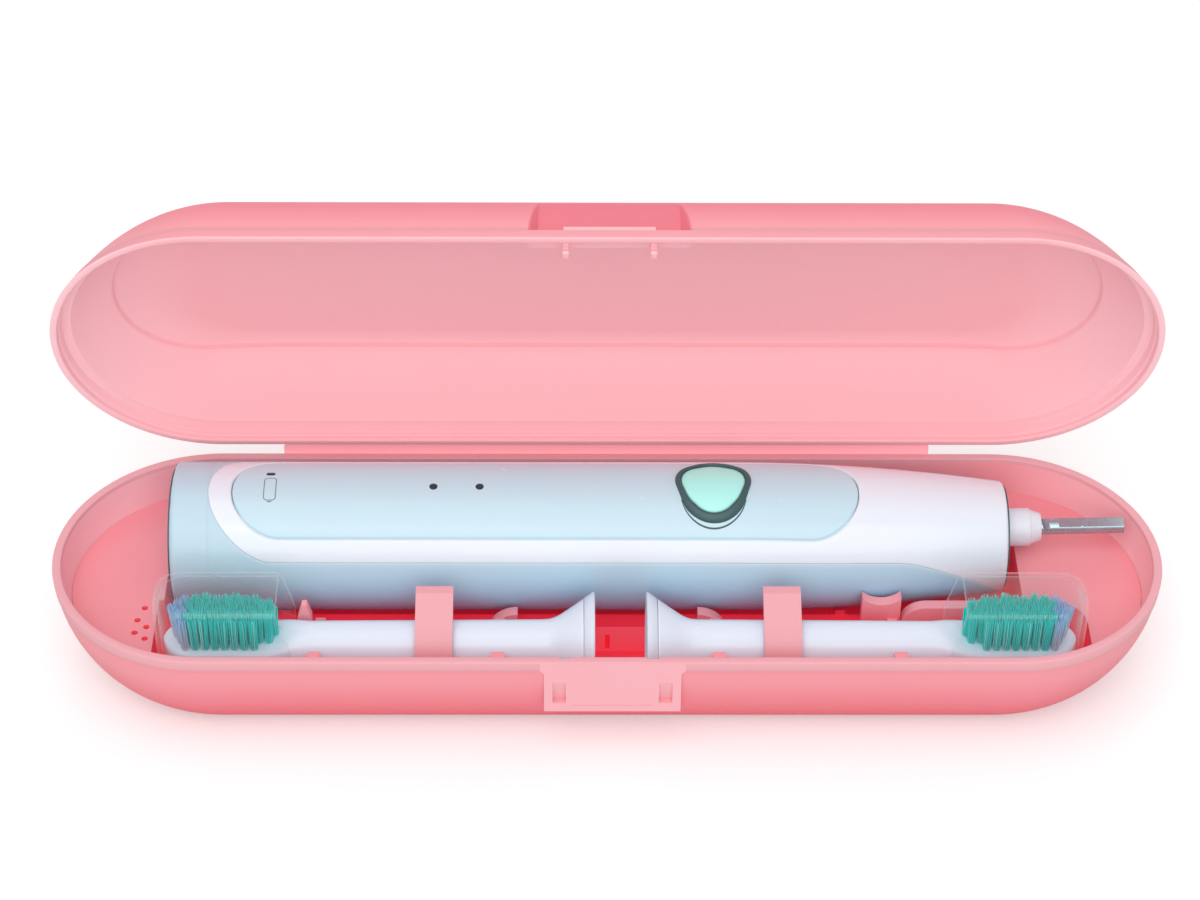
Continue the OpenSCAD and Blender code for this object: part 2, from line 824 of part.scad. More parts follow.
base_shell();
case_lid();
hinge_film();
left_deck();
right_deck();
bay_divider();
handle_rests();
neck_cradles();
neck_prop();
left_clip();
right_clip();
rear_shell();
front_shell();
control_panel();
power_button();
button_seal();
mode_lenses();
charge_lens();
end_cap();
end_cap_seal();
charging_coil();
battery_cell();
chassis();
circuit_board();
push_switch();
drive_unit();
shaft_seal();
drive_shaft();
left_neck();
left_ring();
left_core();
left_bristles();
left_tip_bristles();
left_hood();
right_neck();
right_ring();
right_core();
right_bristles();
right_tip_bristles();
right_hood();
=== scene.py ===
"""Open travel case with a powered toothbrush handle and two covered brush heads."""
import math

import bmesh
import bpy
import numpy as np
from mathutils import Matrix, Vector


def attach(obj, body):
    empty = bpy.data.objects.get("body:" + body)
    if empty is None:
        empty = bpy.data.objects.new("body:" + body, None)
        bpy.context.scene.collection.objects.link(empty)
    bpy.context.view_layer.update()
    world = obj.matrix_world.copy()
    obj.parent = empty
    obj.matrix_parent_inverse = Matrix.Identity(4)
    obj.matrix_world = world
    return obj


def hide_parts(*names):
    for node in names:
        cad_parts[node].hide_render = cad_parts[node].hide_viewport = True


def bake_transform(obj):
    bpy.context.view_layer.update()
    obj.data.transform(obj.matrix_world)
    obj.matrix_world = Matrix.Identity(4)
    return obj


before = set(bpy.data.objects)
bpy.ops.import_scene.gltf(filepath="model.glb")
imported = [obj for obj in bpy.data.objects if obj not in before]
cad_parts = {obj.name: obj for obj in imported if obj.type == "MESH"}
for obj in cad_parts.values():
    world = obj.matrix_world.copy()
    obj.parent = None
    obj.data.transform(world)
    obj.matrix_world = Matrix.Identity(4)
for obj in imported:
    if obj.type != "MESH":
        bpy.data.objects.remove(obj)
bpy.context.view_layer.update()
scene = bpy.context.scene

MM = 0.001

# Sizes in millimetres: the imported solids' own, with the finest trims as the photograph shows them.
CASE_L = 225.0
CASE_W = 64.0
FRONT = -CASE_W / 2
WALL = 1.8
BASE_H = 24.0
BASE_RISE = 24.8
BASE_SIDE_IN = 13.0
BASE_END_IN = 18.5
LID_H = 20.4
LID_RISE = 57.0
LID_SIDE_IN = 13.9
LID_END_IN = 21.3
LID_GAP = 0.15
LID_OPEN = 78.4
HINGE_Y = 33.25
HINGE_Z = 26.6
HINGE_L = 136.0
LEAF_GAP = 0.4
BAND_STEP = 0.16            # how far both rim bands stand proud of the walls
BASE_BAND_Z = 21.5          # lower edge of the lower shell's rim band
LID_BAND_Z = 27.8           # upper edge of the lid's rim band, lid shut
RIM_R = 0.3
CROWN_HL = 101.2            # sunk panel in the lid's ceiling
CROWN_HW = 20.3
CROWN_SINK = 0.7
RECESS_W = 28.0
RECESS_H = 14.0
RECESS_DEPTH = 3.4          # behind the lower shell's front face
RECESS_LEAN = 0.25          # of the recess's floor, by height
RECESS_FLARE = 0.7          # of its sides, by depth
TONGUE_W = 18.2
LUG_X = 8.6
LUG_DROP = 1.9              # how far the catch lugs hang below the lower shell's rim
PAD_X = 0.7                 # the thumb pad stands a little off the middle
LEDGE_Z = 27.2

HANDLE_Y = 11.9
HANDLE_Z = 18.35
HANDLE_ROLL = 10.0
GRIP_R = 15.35
NOSE_R = 11.45
FOOT_X = 88.9
NOSE_X = 81.8
TAPER_X = 25.0
FOOT_EDGE = 1.2
NOSE_EDGE = 0.7
SHAFT_N = 3.0               # the drive axis at the shoulder, above the grip's axis
SHAFT_TILT = 2.0
PANEL_HW = 10.0
PANEL_X0 = -76.4
PANEL_X1 = 51.1
WHITE_HW = 13.25
WHITE_X0 = -81.2
GROOVE = 0.12               # gap round the panel
SEAM = 0.03                 # gap between the blue and the white shell
SEAM_SOFT = 0.15            # their edges turn down less than the panel's
BUTTON_X = 21.5
BUTTON_Y = 1.1
MODE_LAMPS = ((-35.5, 0.6), (-26.1, 0.6))
CHARGE_LAMP = (-68.8, 4.4)
BATTERY_MARK = (-68.7, 0.1)

HEAD_Y = -16.7
HEAD_Z = 14.2
HEAD_X = {"left": -2.7, "right": 7.6}
FLARE_R = 11.05
NECK_R = 5.3
RING_L = 2.2
CONE_END = 8.4
PLATE_START = 57.0
PLATE_END = 86.3
PLATE_BLEND = 9.0           # length over which the neck turns into the plate
PLATE_HW = 5.6
PLATE_LOW = 2.3
PLATE_TOP = 2.7
BRISTLE_L = 8.0
TUFT_GAP = 1.95
TUFT_ROW = 1.8
TUFT_START = 64.0
TUFT_END = 84.3
TUFT_MID = 74.1             # middle of the oval that the tufts fill
TUFT_HL = 11.0
TUFT_HW = 4.9
BLUE_START = 81.2           # tufts beyond this are blue
SPLAY_START = 78.0          # tufts beyond this lean towards the tip
SPLAY = 0.12
HOOD_X0 = 60.4
HOOD_X1 = 87.6
HOOD_HW = 7.1
HOOD_LOW = -2.0
HOOD_TOP = 14.8
HOOD_T = 0.8
HOOD_END_R = 5.4            # roundness of its tip end in plan
HOOD_TOP_R = 2.2            # and in side view
HOOD_CORNER = 2.4
HOOD_SLANT = 0.28           # of its edge at the neck, above SLANT_Z
SLANT_Z = 5.0


# ------------------------------------------------------------------ meshes

def cleaned(mesh, distance):
    """Joins doubled points and turns all faces outward."""
    bm = bmesh.new()
    bm.from_mesh(mesh)
    bmesh.ops.remove_doubles(bm, verts=bm.verts, dist=distance)
    bmesh.ops.recalc_face_normals(bm, faces=bm.faces)
    bm.to_mesh(mesh)
    bm.free()


def smoothed(mesh, angle):
    """Smooth shading that keeps edges sharper than an angle."""
    mesh.shade_smooth()
    mesh.set_sharp_from_angle(angle=math.radians(angle))


def new_piece(name, pair, body, mat, slot, replaces=(), place=None, sharp=35, outward=True):
    """Makes a mesh piece from points in millimetres, puts it in the row frame and lets it ride."""
    points = np.asarray(pair[0], float).reshape(-1, 3)
    if place is not None:
        points = place(points)
    mesh = bpy.data.meshes.new(name)
    mesh.from_pydata((points * MM).tolist(), [], [tuple(int(i) for i in f) for f in pair[1]])
    mesh.validate()
    if outward:
        cleaned(mesh, 1e-7)
    smoothed(mesh, sharp)
    obj = bpy.data.objects.new(name, mesh)
    scene.collection.objects.link(obj)
    mesh.materials.append(mat)
    if body is not None:
        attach(obj, body)
    if replaces:
        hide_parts(*replaces)
    return obj


def grid_faces(rows, cols, wrap=False):
    """Quads between rows of points; wrap joins the last column to the first."""
    out = []
    last = cols if wrap else cols - 1
    for r in range(rows - 1):
        for c in range(last):
            d = (c + 1) % cols
            a = r * cols
            out.append((a + c, a + d, a + cols + d, a + cols + c))
    return out


def rings_to_mesh(rings, close_start=False, close_end=False):
    """Skins closed rings that all have the same number of points."""
    n = len(rings[0])
    faces = grid_faces(len(rings), n, wrap=True)
    if close_start:
        faces.append(tuple(reversed(range(n))))
    if close_end:
        faces.append(tuple(range((len(rings) - 1) * n, len(rings) * n)))
    return np.concatenate(rings), faces


def stadium(half_l, half_w, arc=56, side=14):
    """Round-ended outline, counter-clockwise; the count of points never changes."""
    half_w = max(half_w, 0.001)
    cx = half_l - half_w
    right = [(cx + half_w * math.cos(a), half_w * math.sin(a))
             for a in np.linspace(-math.pi / 2, math.pi / 2, arc + 1)]
    top = [(x, half_w) for x in np.linspace(cx, -cx, side + 1)[1:-1]]
    left = [(-x, -y) for x, y in right]
    bottom = [(-x, -y) for x, y in top]
    return np.array(right + top + left + bottom)


def turned_rings(profile, segments):
    """Rings about the x axis from (x, radius) points."""
    a = np.linspace(0, 2 * math.pi, segments, endpoint=False)
    return [np.stack([np.full(segments, x), -r * np.sin(a), r * np.cos(a)], 1) for x, r in profile]


def turned(u, v, degrees, origin):
    """Two coordinates turned in their own plane, then counted from another origin."""
    c = math.cos(math.radians(degrees))
    s = math.sin(math.radians(degrees))
    return np.c_[origin[0] + u * c - v * s, origin[1] + u * s + v * c]


def on_ring(x, r, a):
    """Point at an angle about the x axis, from straight up."""
    return x, -r * math.sin(a), r * math.cos(a)


def rounded(points, radius, steps=4):
    """Rounds the inner corners of an open polyline by a radius, or by less where it is short."""
    pts = [np.array(p, float) for p in points]
    out = [pts[0]]
    for p, q, r in zip(pts, pts[1:], pts[2:]):
        u = p - q
        v = r - q
        cut = min(radius, np.linalg.norm(u) * 0.45, np.linalg.norm(v) * 0.45)
        a = q + u / np.linalg.norm(u) * cut
        b = q + v / np.linalg.norm(v) * cut
        for t in np.linspace(0, 1, steps + 1):
            out.append((1 - t) ** 2 * a + 2 * t * (1 - t) * q + t * t * b)
    out.append(pts[-1])
    return out


def block(x0, x1, y0, y1, z0, z1):
    """Corners and faces of a box."""
    corners = [(x, y, z) for x in (x0, x1) for y in (y0, y1) for z in (z0, z1)]
    faces = [(0, 1, 3, 2), (4, 6, 7, 5), (0, 4, 5, 1), (2, 3, 7, 6), (0, 2, 6, 4), (1, 5, 7, 3)]
    return np.array(corners, float), faces


def prism_x(outline, x0, x1):
    """Closed y-z outline extruded along x."""
    flat = np.array(outline, float)
    rings = [np.c_[np.full(len(flat), x), flat] for x in (x0, x1)]
    return rings_to_mesh(rings, True, True)


def joined(*parts):
    """Puts several (points, faces) pairs into one."""
    verts = []
    faces = []
    start = 0
    for v, f in parts:
        verts.append(np.asarray(v, float))
        faces += [tuple(i + start for i in face) for face in f]
        start += len(v)
    return np.concatenate(verts), faces


def carve(part, cutters, unions=(), common=()):
    """Booleans on (points, faces) pairs, all closed; gives the result as a pair."""
    def temp(pair, name):
        mesh = bpy.data.meshes.new(name)
        mesh.from_pydata(pair[0].tolist(), [], [tuple(int(i) for i in f) for f in pair[1]])
        cleaned(mesh, 1e-5)
        obj = bpy.data.objects.new(name, mesh)
        scene.collection.objects.link(obj)
        return obj

    base = temp(part, "tmp_base")
    made = [base]
    for kind, pairs in (("INTERSECT", common), ("UNION", unions), ("DIFFERENCE", cutters)):
        for i, pair in enumerate(pairs):
            tool = temp(pair, f"tmp_{kind}_{i}")
            made.append(tool)
            mod = base.modifiers.new(f"{kind}_{i}", "BOOLEAN")
            mod.operation = kind
            mod.object = tool
            mod.solver = "EXACT"
    bpy.context.view_layer.update()
    done = base.evaluated_get(bpy.context.evaluated_depsgraph_get()).to_mesh()
    verts = np.array([v.co for v in done.vertices], float)
    faces = [tuple(p.vertices) for p in done.polygons]
    for obj in made:
        mesh = obj.data
        bpy.data.objects.remove(obj)
        bpy.data.meshes.remove(mesh)
    return verts, faces


def bevelled(obj, width, segments=2, angle=35):
    """Softens a piece's hard edges."""
    mod = obj.modifiers.new("soft_edges", "BEVEL")
    mod.width = width * MM
    mod.segments = segments
    mod.limit_method = "ANGLE"
    mod.angle_limit = math.radians(angle)
    mod.use_clamp_overlap = True
    mod.harden_normals = True
    return obj


def eased(a, b, n, ends="both"):
    """Numbers from a to b that crowd together at both ends, or at one."""
    t = np.linspace(0, 1, n)
    if ends == "both":
        t = (1 - np.cos(math.pi * t)) / 2
    elif ends == "low":
        t = 1 - np.cos(math.pi * t / 2)
    else:
        t = np.sin(math.pi * t / 2)
    return list(a + (b - a) * t)


# ------------------------------------------------------------------ materials

PAINTED_GLOW = 0.17                 # painted glow: emission strength standing in for light through the thin dyed walls, low inside the case
GRAIN = 0.00004             # height of the moulded grain, in metres
# colour of that painted glow
PAINTED_GLOW_RED = (255, 40, 70)
SHADE_START = 0.004          # painted shade: the tray's tint deepens downwards between these heights, in metres
SHADE_END = 0.0135
LIT_ENDS_START = 0.084          # painted light: the shells turn paler beyond this distance from the middle, in metres


def linear(rgb):
    """sRGB 0 to 255 to linear."""
    out = []
    for c in rgb:
        c /= 255.0
        out.append(c / 12.92 if c <= 0.04045 else ((c + 0.055) / 1.055) ** 2.4)
    return (*out, 1.0)


class Nodes:
    """Short hand for building a node tree."""

    def __init__(self, name):
        self.mat = bpy.data.materials.new(name)
        self.mat.use_nodes = True
        self.tree = self.mat.node_tree
        self.bsdf = self.tree.nodes["Principled BSDF"]
        place = self.tree.nodes.new("ShaderNodeTexCoord")
        self.coords = place.outputs["Object"]
        self.normal = place.outputs["Normal"]

    def put(self, socket, value):
        if isinstance(value, bpy.types.NodeSocket):
            self.tree.links.new(value, socket)
        else:
            socket.default_value = value

    def to(self, socket, value):
        self.put(self.bsdf.inputs[socket], value)

    def add(self, kind, inputs=(), **settings):
        node = self.tree.nodes.new(kind)
        for key, value in settings.items():
            setattr(node, key, value)
        for key, value in dict(inputs).items():
            self.put(node.inputs[key], value)
        return node

    def noise(self, scale, detail=2.0):
        inputs = {"Vector": self.coords, "Scale": scale, "Detail": detail}
        return self.add("ShaderNodeTexNoise", inputs).outputs["Fac"]

    def cloud(self):
        return self.noise(38.0, 3.0)

    def spread(self, value, low, high, start=0.0, end=1.0):
        inputs = {"Value": value, "From Min": start, "From Max": end, "To Min": low, "To Max": high}
        return self.add("ShaderNodeMapRange", inputs).outputs[0]

    def rise(self, value, start, end):
        return self.spread(value, 0.0, 1.0, start, end)

    def fall(self, value, start, end):
        return self.spread(value, 1.0, 0.0, start, end)

    def mix(self, factor, a, b):
        node = self.add("ShaderNodeMix", data_type="RGBA")
        for key, value in ((0, factor), (6, a), (7, b)):
            self.put(node.inputs[key], value)
        return node.outputs[2]

    def bump(self, height, strength, distance):
        inputs = {"Height": height, "Strength": strength, "Distance": distance}
        return self.add("ShaderNodeBump", inputs).outputs["Normal"]

    def maths(self, operation, *values):
        return self.add("ShaderNodeMath", dict(enumerate(values)), operation=operation).outputs[0]

    def times(self, a, b):
        return self.maths("MULTIPLY", a, b)

    def dot(self, a, b):
        return self.add("ShaderNodeVectorMath", {0: a, 1: b}, operation="DOT_PRODUCT").outputs["Value"]

    def scaled(self, tint, share):
        node = self.add("ShaderNodeVectorMath", {0: tint}, operation="SCALE")
        self.put(node.inputs["Scale"], share)
        return node.outputs[0]

    def part(self, vector, axis):
        return self.add("ShaderNodeSeparateXYZ", {0: vector}).outputs[axis]

    def height(self):
        return self.part(self.coords, 2)

    def up(self):
        return self.part(self.normal, 2)

    def across(self):
        return self.maths("ABSOLUTE", self.part(self.coords, 0))

    def cloudy(self, tint):
        return self.scaled(tint, self.spread(self.cloud(), 0.975, 1.0))

    def plastic(self, tint, rough=(0.38, 0.52), grain=2600.0, bump=0.05, spec=0.35):
        """A tint under an uneven gloss and a fine moulded grain."""
        self.to("Base Color", tint)
        self.to("Roughness", self.spread(self.noise(210.0), *rough))
        self.to("Normal", self.bump(self.noise(grain), bump, GRAIN))
        self.to("Specular IOR Level", spec)

    def glow(self, rgb, strength):
        self.to("Emission Color", linear(rgb))
        self.to("Emission Strength", strength)


def moulded(name, light, dark, rough=(0.36, 0.5), grain=2600.0, bump=0.05, spec=0.5, painted_light=0.0):
    """Moulded plastic with a faint cloudy tint, and a painted glow of the given strength, an emission
    standing in for light through it where it is thin.
    """
    n = Nodes(name)
    n.plastic(n.mix(n.cloud(), linear(dark), linear(light)), rough, grain, bump, spec)
    n.glow((255, 170, 176), painted_light)
    return n.mat


def shaded_pink(name, light, painted_shade, sides=1.0):
    """Pink plastic with painted shade, a deeper tint low down and on upright sides, and a painted glow in
    that shade.
    """
    n = Nodes(name)
    top = n.mix(n.cloud(), linear([c * 0.985 for c in light]), linear(light))
    # share is 1 in the light and falls towards 0 where the painted shade goes, low down and on upright
    # sides
    share = n.times(n.rise(n.height(), SHADE_START, SHADE_END), n.spread(n.up(), sides, 1.0, 0.1, 0.6))
    n.plastic(n.mix(share, linear(painted_shade), top))
    # painted glow, strongest in that painted shade
    n.glow(PAINTED_GLOW_RED, n.spread(share, PAINTED_GLOW, 0.0))
    return n.mat


def divider_pink(name, above, front, top):
    """The low wall between the bays, with painted shade and a painted glow on its low part: a deeper pink
    on its front, and a dark red on its top and in its slot, where the handle shades them.
    """
    n = Nodes(name)
    low = n.fall(n.height(), 0.0087, 0.009)
    slot = n.rise(n.part(n.coords, 1), -0.0051, -0.0049)
    # painted shade mask: faces that look up, and the slot
    painted_shade = n.maths("MAXIMUM", n.rise(n.up(), 0.4, 0.8), slot)
    n.plastic(n.cloudy(n.mix(low, linear(above), n.mix(painted_shade, linear(front), linear(top)))), spec=0.3)
    # painted glow on the low part
    n.glow((255, 50, 72), n.spread(low, 0.0, PAINTED_GLOW * 1.4))
    return n.mat


def shell_pink(name, band, outer, outer_shaded, inner, inner_shaded, ends):
    """The lower shell's plastic, with painted shade and light: its outside darkens towards the floor, its
    hollow is painted deeper than its outside low down, with a painted glow there, and paler again at the
    ends.
    """
    n = Nodes(name)
    height = n.height()
    # painted shade: the outside darkens towards the floor
    outside = n.mix(n.rise(height, 0.001, 0.018), linear(outer_shaded), linear(outer))
    outside = n.mix(n.rise(height, BASE_BAND_Z * MM, (BASE_BAND_Z + 0.2) * MM), outside, linear(band))
    # painted light: the hollow turns paler towards the ends
    upper = n.mix(n.rise(n.across(), LIT_ENDS_START, 0.1), linear(inner), linear(ends))
    # painted shade: the hollow deepens low down
    inside = n.mix(n.rise(height, 0.003, 0.015), linear(inner_shaded), upper)
    hollow = n.times(n.rise(n.up(), 0.005, 0.03), n.fall(height, 0.0228, 0.0234))
    n.plastic(n.cloudy(n.mix(hollow, outside, inside)))
    # painted glow low in the hollow
    n.glow(PAINTED_GLOW_RED, n.times(n.spread(height, PAINTED_GLOW, 0.0, 0.002, 0.013), hollow))
    return n.mat


def body_blue(name, light, below):
    """The grip's blue plastic, with painted light: a deeper, bluer tint on the sides that look down, set
    against the pink light bounced onto them.
    """
    n = Nodes(name)
    top = n.mix(n.cloud(), linear([c * 0.98 for c in light]), linear(light))
    # painted light: the sides that look down take the bluer tint
    n.plastic(n.mix(n.fall(n.up(), -0.5, 0.3), top, linear(below)), (0.28, 0.36), 3200.0, 0.03, 0.4)
    return n.mat


def lid_pink(name, inside, ends, rim, wall, far, recess):
    """The lid's plastic: pale inside and painted paler still at the ends, pale at the rim band, deeper on
    the outer wall, and painted shade in the recess.
    """
    n = Nodes(name)
    turn = math.radians(LID_OPEN)
    pivot = Vector((0.0, HINGE_Y * MM, HINGE_Z * MM))
    offset = n.add("ShaderNodeVectorMath", {0: n.coords, 1: pivot}, operation="SUBTRACT").outputs[0]
    along = Vector((0.0, math.sin(turn), math.cos(turn)))
    lean = Vector((0.0, math.cos(turn), -math.sin(turn))) - RECESS_LEAN * along
    up = n.dot(offset, along)
    inward = n.dot(offset, lean)
    across = n.across()
    band = (LID_BAND_Z - HINGE_Z) * MM
    wall_tint = n.mix(n.rise(up, 0.002, 0.015), linear(wall), linear(far))
    outside = n.mix(n.rise(up, band - 0.0001, band + 0.00015), linear(rim), wall_tint)
    # painted light: paler inside towards the ends
    hollow = n.mix(n.rise(across, LIT_ENDS_START, 0.108), linear(inside), linear(ends))
    tint = n.mix(n.rise(n.dot(n.normal, along), 0.0, 0.06), hollow, outside)
    floor = (FRONT + RECESS_DEPTH - HINGE_Y - RECESS_LEAN * (HINGE_Z - LEDGE_Z)) * MM
    edge = RECESS_W / 2 * MM + floor * RECESS_FLARE
    ledge = (LEDGE_Z - HINGE_Z) * MM
    before = n.fall(inward, floor + 0.0008, floor + 0.001)
    side = n.maths("ADD", n.times(inward, RECESS_FLARE), across)
    between = n.times(before, n.fall(side, edge + 0.0001, edge + 0.0002))
    sunk = n.times(between, n.rise(up, ledge + 0.00005, ledge + 0.0001))
    # painted shade: the recess takes a deeper tint
    n.plastic(n.cloudy(n.mix(sunk, tint, linear(recess))), (0.36, 0.5))
    return n.mat


def steel(name, tint, rough, metal=1.0):
    """Turned steel: fine rings round the axis, and a soft unevenness."""
    n = Nodes(name)
    stretched = n.add("ShaderNodeMapping", {"Vector": n.coords, "Scale": (9000.0, 300.0, 300.0)})
    inputs = {"Vector": stretched.outputs[0], "Scale": 1.0, "Detail": 2.0}
    rings = n.add("ShaderNodeTexNoise", inputs).outputs["Fac"]
    n.to("Base Color", n.mix(n.noise(400.0), linear(tint), linear([c * 0.9 for c in tint])))
    n.to("Metallic", metal)
    n.to("Roughness", n.spread(rings, *rough))
    n.to("Normal", n.bump(rings, 0.03, GRAIN / 2))
    return n.mat


def clear_plastic(name):
    """Clear thin plastic: seen through, with sharp gloss, moulding waves and a slight white haze."""
    n = Nodes(name)
    waves = n.bump(n.noise(170.0), 0.25, 0.0003)
    fine = n.spread(n.noise(900.0), 0.03, 0.09)
    through = n.add("ShaderNodeBsdfTransparent", {"Color": (0.99, 1.0, 1.0, 1.0)}).outputs[0]
    gloss = n.add("ShaderNodeBsdfGlossy", {"Roughness": fine, "Normal": waves}).outputs[0]
    milk = n.add("ShaderNodeBsdfDiffuse", {"Color": (0.95, 0.98, 1.0, 1.0)}).outputs[0]
    facing = n.add("ShaderNodeLayerWeight", {"Blend": 0.5, "Normal": waves}).outputs["Facing"]
    mirror = n.spread(n.maths("POWER", facing, 5.0), 0.03, 0.6)
    milky = n.times(n.maths("POWER", facing, 4.0), 0.8)
    milky = n.maths("ADD", milky, n.spread(n.noise(60.0), 0.004, 0.016))
    body = n.add("ShaderNodeMixShader", {0: milky, 1: through, 2: milk}).outputs[0]
    whole = n.add("ShaderNodeMixShader", {0: mirror, 1: body, 2: gloss}).outputs[0]
    n.put(n.tree.nodes["Material Output"].inputs["Surface"], whole)
    n.tree.nodes.remove(n.bsdf)
    return n.mat


def filaments(name, root, tip):
    """Nylon filaments, deeper in colour towards their tips, with strands of uneven tone."""
    n = Nodes(name)
    low = (HEAD_Z + PLATE_TOP) * MM
    share = n.rise(n.height(), low, low + BRISTLE_L * MM)
    strands = n.spread(n.noise(3200.0), 0.8, 1.1)
    n.to("Base Color", n.scaled(n.mix(share, linear(root), linear(tip)), strands))
    n.to("Roughness", n.spread(n.noise(900.0), 0.28, 0.42))
    n.to("Specular IOR Level", 0.2)
    return n.mat


LID_PINK = lid_pink("lid_pink", (251, 186, 193), (255, 204, 211), (238, 156, 165), (248, 158, 168),
                    (246, 121, 137), (240, 120, 136))
CASE_PINK = shell_pink("case_pink", (234, 169, 177), (245, 154, 164), (246, 100, 116), (252, 166, 175),
                       (240, 74, 94), (255, 192, 199))
# painted light: the hinge's pink is paler than the shell's and carries a painted glow, to lift it out of
# the shade of the handle and the lid
LIT_HINGE_PINK = moulded("lit_hinge_pink", (252, 184, 192), (249, 178, 187), spec=0.35, painted_light=0.27)
PAD_PINK = moulded("pad_pink", (246, 180, 188), (242, 174, 182), spec=0.35)
# painted shade and a painted glow low down on all the tray's pieces
TRAY_PINK = shaded_pink("tray_pink", (252, 164, 173), (240, 84, 102))
DECK_PINK = shaded_pink("deck_pink", (247, 157, 166), (242, 80, 98), 0.3)
# painted shade: the handle rests are dark red all over, with a painted glow, for the shade under the handle
SHADED_REST_PINK = shaded_pink("shaded_rest_pink", (236, 70, 90), (232, 50, 72))
CLIP_PINK = shaded_pink("clip_pink", (235, 171, 179), (240, 84, 102))
# the last two colours are painted shade: the front's deeper pink and the top's dark red under the handle
DIVIDER_PINK = divider_pink("divider_pink", (250, 165, 175), (255, 130, 146), (232, 40, 62))
BLUE = body_blue("handle_blue", (190, 218, 232), (146, 216, 246))
WHITE = moulded("handle_white", (229, 237, 246), (226, 234, 244), (0.16, 0.24), 3000.0, 0.02)
PANEL = moulded("panel_blue", (196, 225, 236), (191, 221, 233), (0.2, 0.3), 3200.0, 0.02)
MINT = moulded("button_mint", (178, 248, 238), (170, 243, 233), (0.3, 0.4), 3600.0, 0.04)
SEAL = moulded("seal_dark", (60, 92, 94), (52, 84, 86), (0.35, 0.5), 3600.0, 0.05)
LENS = moulded("lens_dark", (40, 58, 72), (34, 50, 64), (0.08, 0.16), 3600.0, 0.01)
MARK = moulded("mark_grey", (120, 138, 150), (112, 130, 142), (0.3, 0.4), 3600.0, 0.01)
NECK = moulded("neck_white", (226, 241, 255), (222, 238, 252), (0.2, 0.3), 3000.0, 0.02)
SEAL_WHITE = moulded("seal_white", (226, 232, 240), (220, 226, 236), (0.35, 0.45), 3200.0, 0.03)
INNER = moulded("inner_plastic", (210, 212, 214), (202, 204, 206))
BOARD = moulded("board_green", (30, 92, 56), (24, 82, 48), (0.3, 0.4))
COPPER = steel("coil_copper", (214, 140, 96), (0.3, 0.45))
STEEL = steel("shaft_steel", (176, 198, 206), (0.24, 0.32), 0.85)
CAN = steel("cell_can", (186, 190, 196), (0.25, 0.4))
CLEAR = clear_plastic("clear_plastic")
TEAL = filaments("bristle_teal", (30, 248, 240), (0, 232, 224))
BLUE_TUFT = filaments("bristle_blue", (214, 240, 255), (150, 214, 250))
PALE_TUFT = filaments("bristle_pale", (150, 255, 250), (110, 250, 244))

NODE_MATERIALS = {
    "base_shell": CASE_PINK, "case_lid": LID_PINK, "hinge_film": LIT_HINGE_PINK,
    "left_deck": DECK_PINK, "right_deck": DECK_PINK, "bay_divider": DIVIDER_PINK,
    "handle_rests": SHADED_REST_PINK, "neck_cradles": TRAY_PINK, "neck_prop": TRAY_PINK,
    "left_clip": CLIP_PINK, "right_clip": CLIP_PINK,
    "rear_shell": BLUE, "front_shell": WHITE, "control_panel": PANEL, "power_button": MINT,
    "button_seal": SEAL, "mode_lenses": LENS, "charge_lens": LENS, "end_cap": BLUE,
    "end_cap_seal": SEAL, "charging_coil": COPPER, "battery_cell": CAN, "chassis": INNER,
    "circuit_board": BOARD, "push_switch": SEAL, "drive_unit": STEEL, "shaft_seal": SEAL_WHITE,
    "drive_shaft": STEEL,
}
HEAD_MATERIALS = {"neck": NECK, "ring": NECK, "core": STEEL, "bristles": TEAL,
                  "tip_bristles": BLUE_TUFT, "hood": CLEAR}


def dress_nodes():
    """Gives every solid of the frame its material, also where a finer piece replaces it."""
    for side in HEAD_X:
        for piece, material in HEAD_MATERIALS.items():
            NODE_MATERIALS[f"{side}_{piece}"] = material
    for node_name, material in NODE_MATERIALS.items():
        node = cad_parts[node_name]
        node.data.materials.clear()
        node.data.materials.append(material)


# ------------------------------------------------------------------ case

def bowl_angle(height, rise):
    return math.acos(1 - height / rise)


class Bowl:
    """One shell's surface, floor at zero and open above, drawn in from the outside by a distance."""

    def __init__(self, inset_by, height, rise, side_in, end_in):
        self.half_l = CASE_L / 2 - inset_by
        self.half_w = CASE_W / 2 - inset_by
        self.floor = inset_by
        self.depth = height - inset_by
        self.rise = rise - inset_by
        self.side_in = side_in
        self.end_in = end_in
        self.last = math.sin(bowl_angle(self.depth, self.rise))

    def ring(self, z):
        """Outline at a height above the shell's own outer floor."""
        lean = 1 - math.sin(bowl_angle(max(z - self.floor, 0), self.rise)) / self.last
        flat = stadium(self.half_l - self.end_in * lean, self.half_w - self.side_in * lean)
        return np.c_[flat, np.full(len(flat), z)]

    def stops(self, steps, top):
        """Heights at even angles round the ellipse, below top."""
        last = bowl_angle(self.depth, self.rise)
        levels = [self.floor + self.rise * (1 - math.cos(last * i / steps)) for i in range(steps + 1)]
        return [z for z in levels if z < top]

    def heights(self, flat):
        """Height of the surface over points in plan."""
        low = np.zeros(len(flat))
        high = np.ones(len(flat))
        for _ in range(40):
            mid = (low + high) / 2
            half_w = self.half_w - self.side_in * mid
            run = self.half_l - self.end_in * mid - half_w
            outside = np.hypot(np.maximum(np.abs(flat[:, 0]) - run, 0), flat[:, 1]) > half_w
            high = np.where(outside, mid, high)
            low = np.where(outside, low, mid)
        sine = np.clip((1 - low) * self.last, 0, 1)
        return self.floor + self.rise * (1 - np.sqrt(1 - sine ** 2))

    def over(self, flat):
        return np.c_[flat, self.heights(flat)]


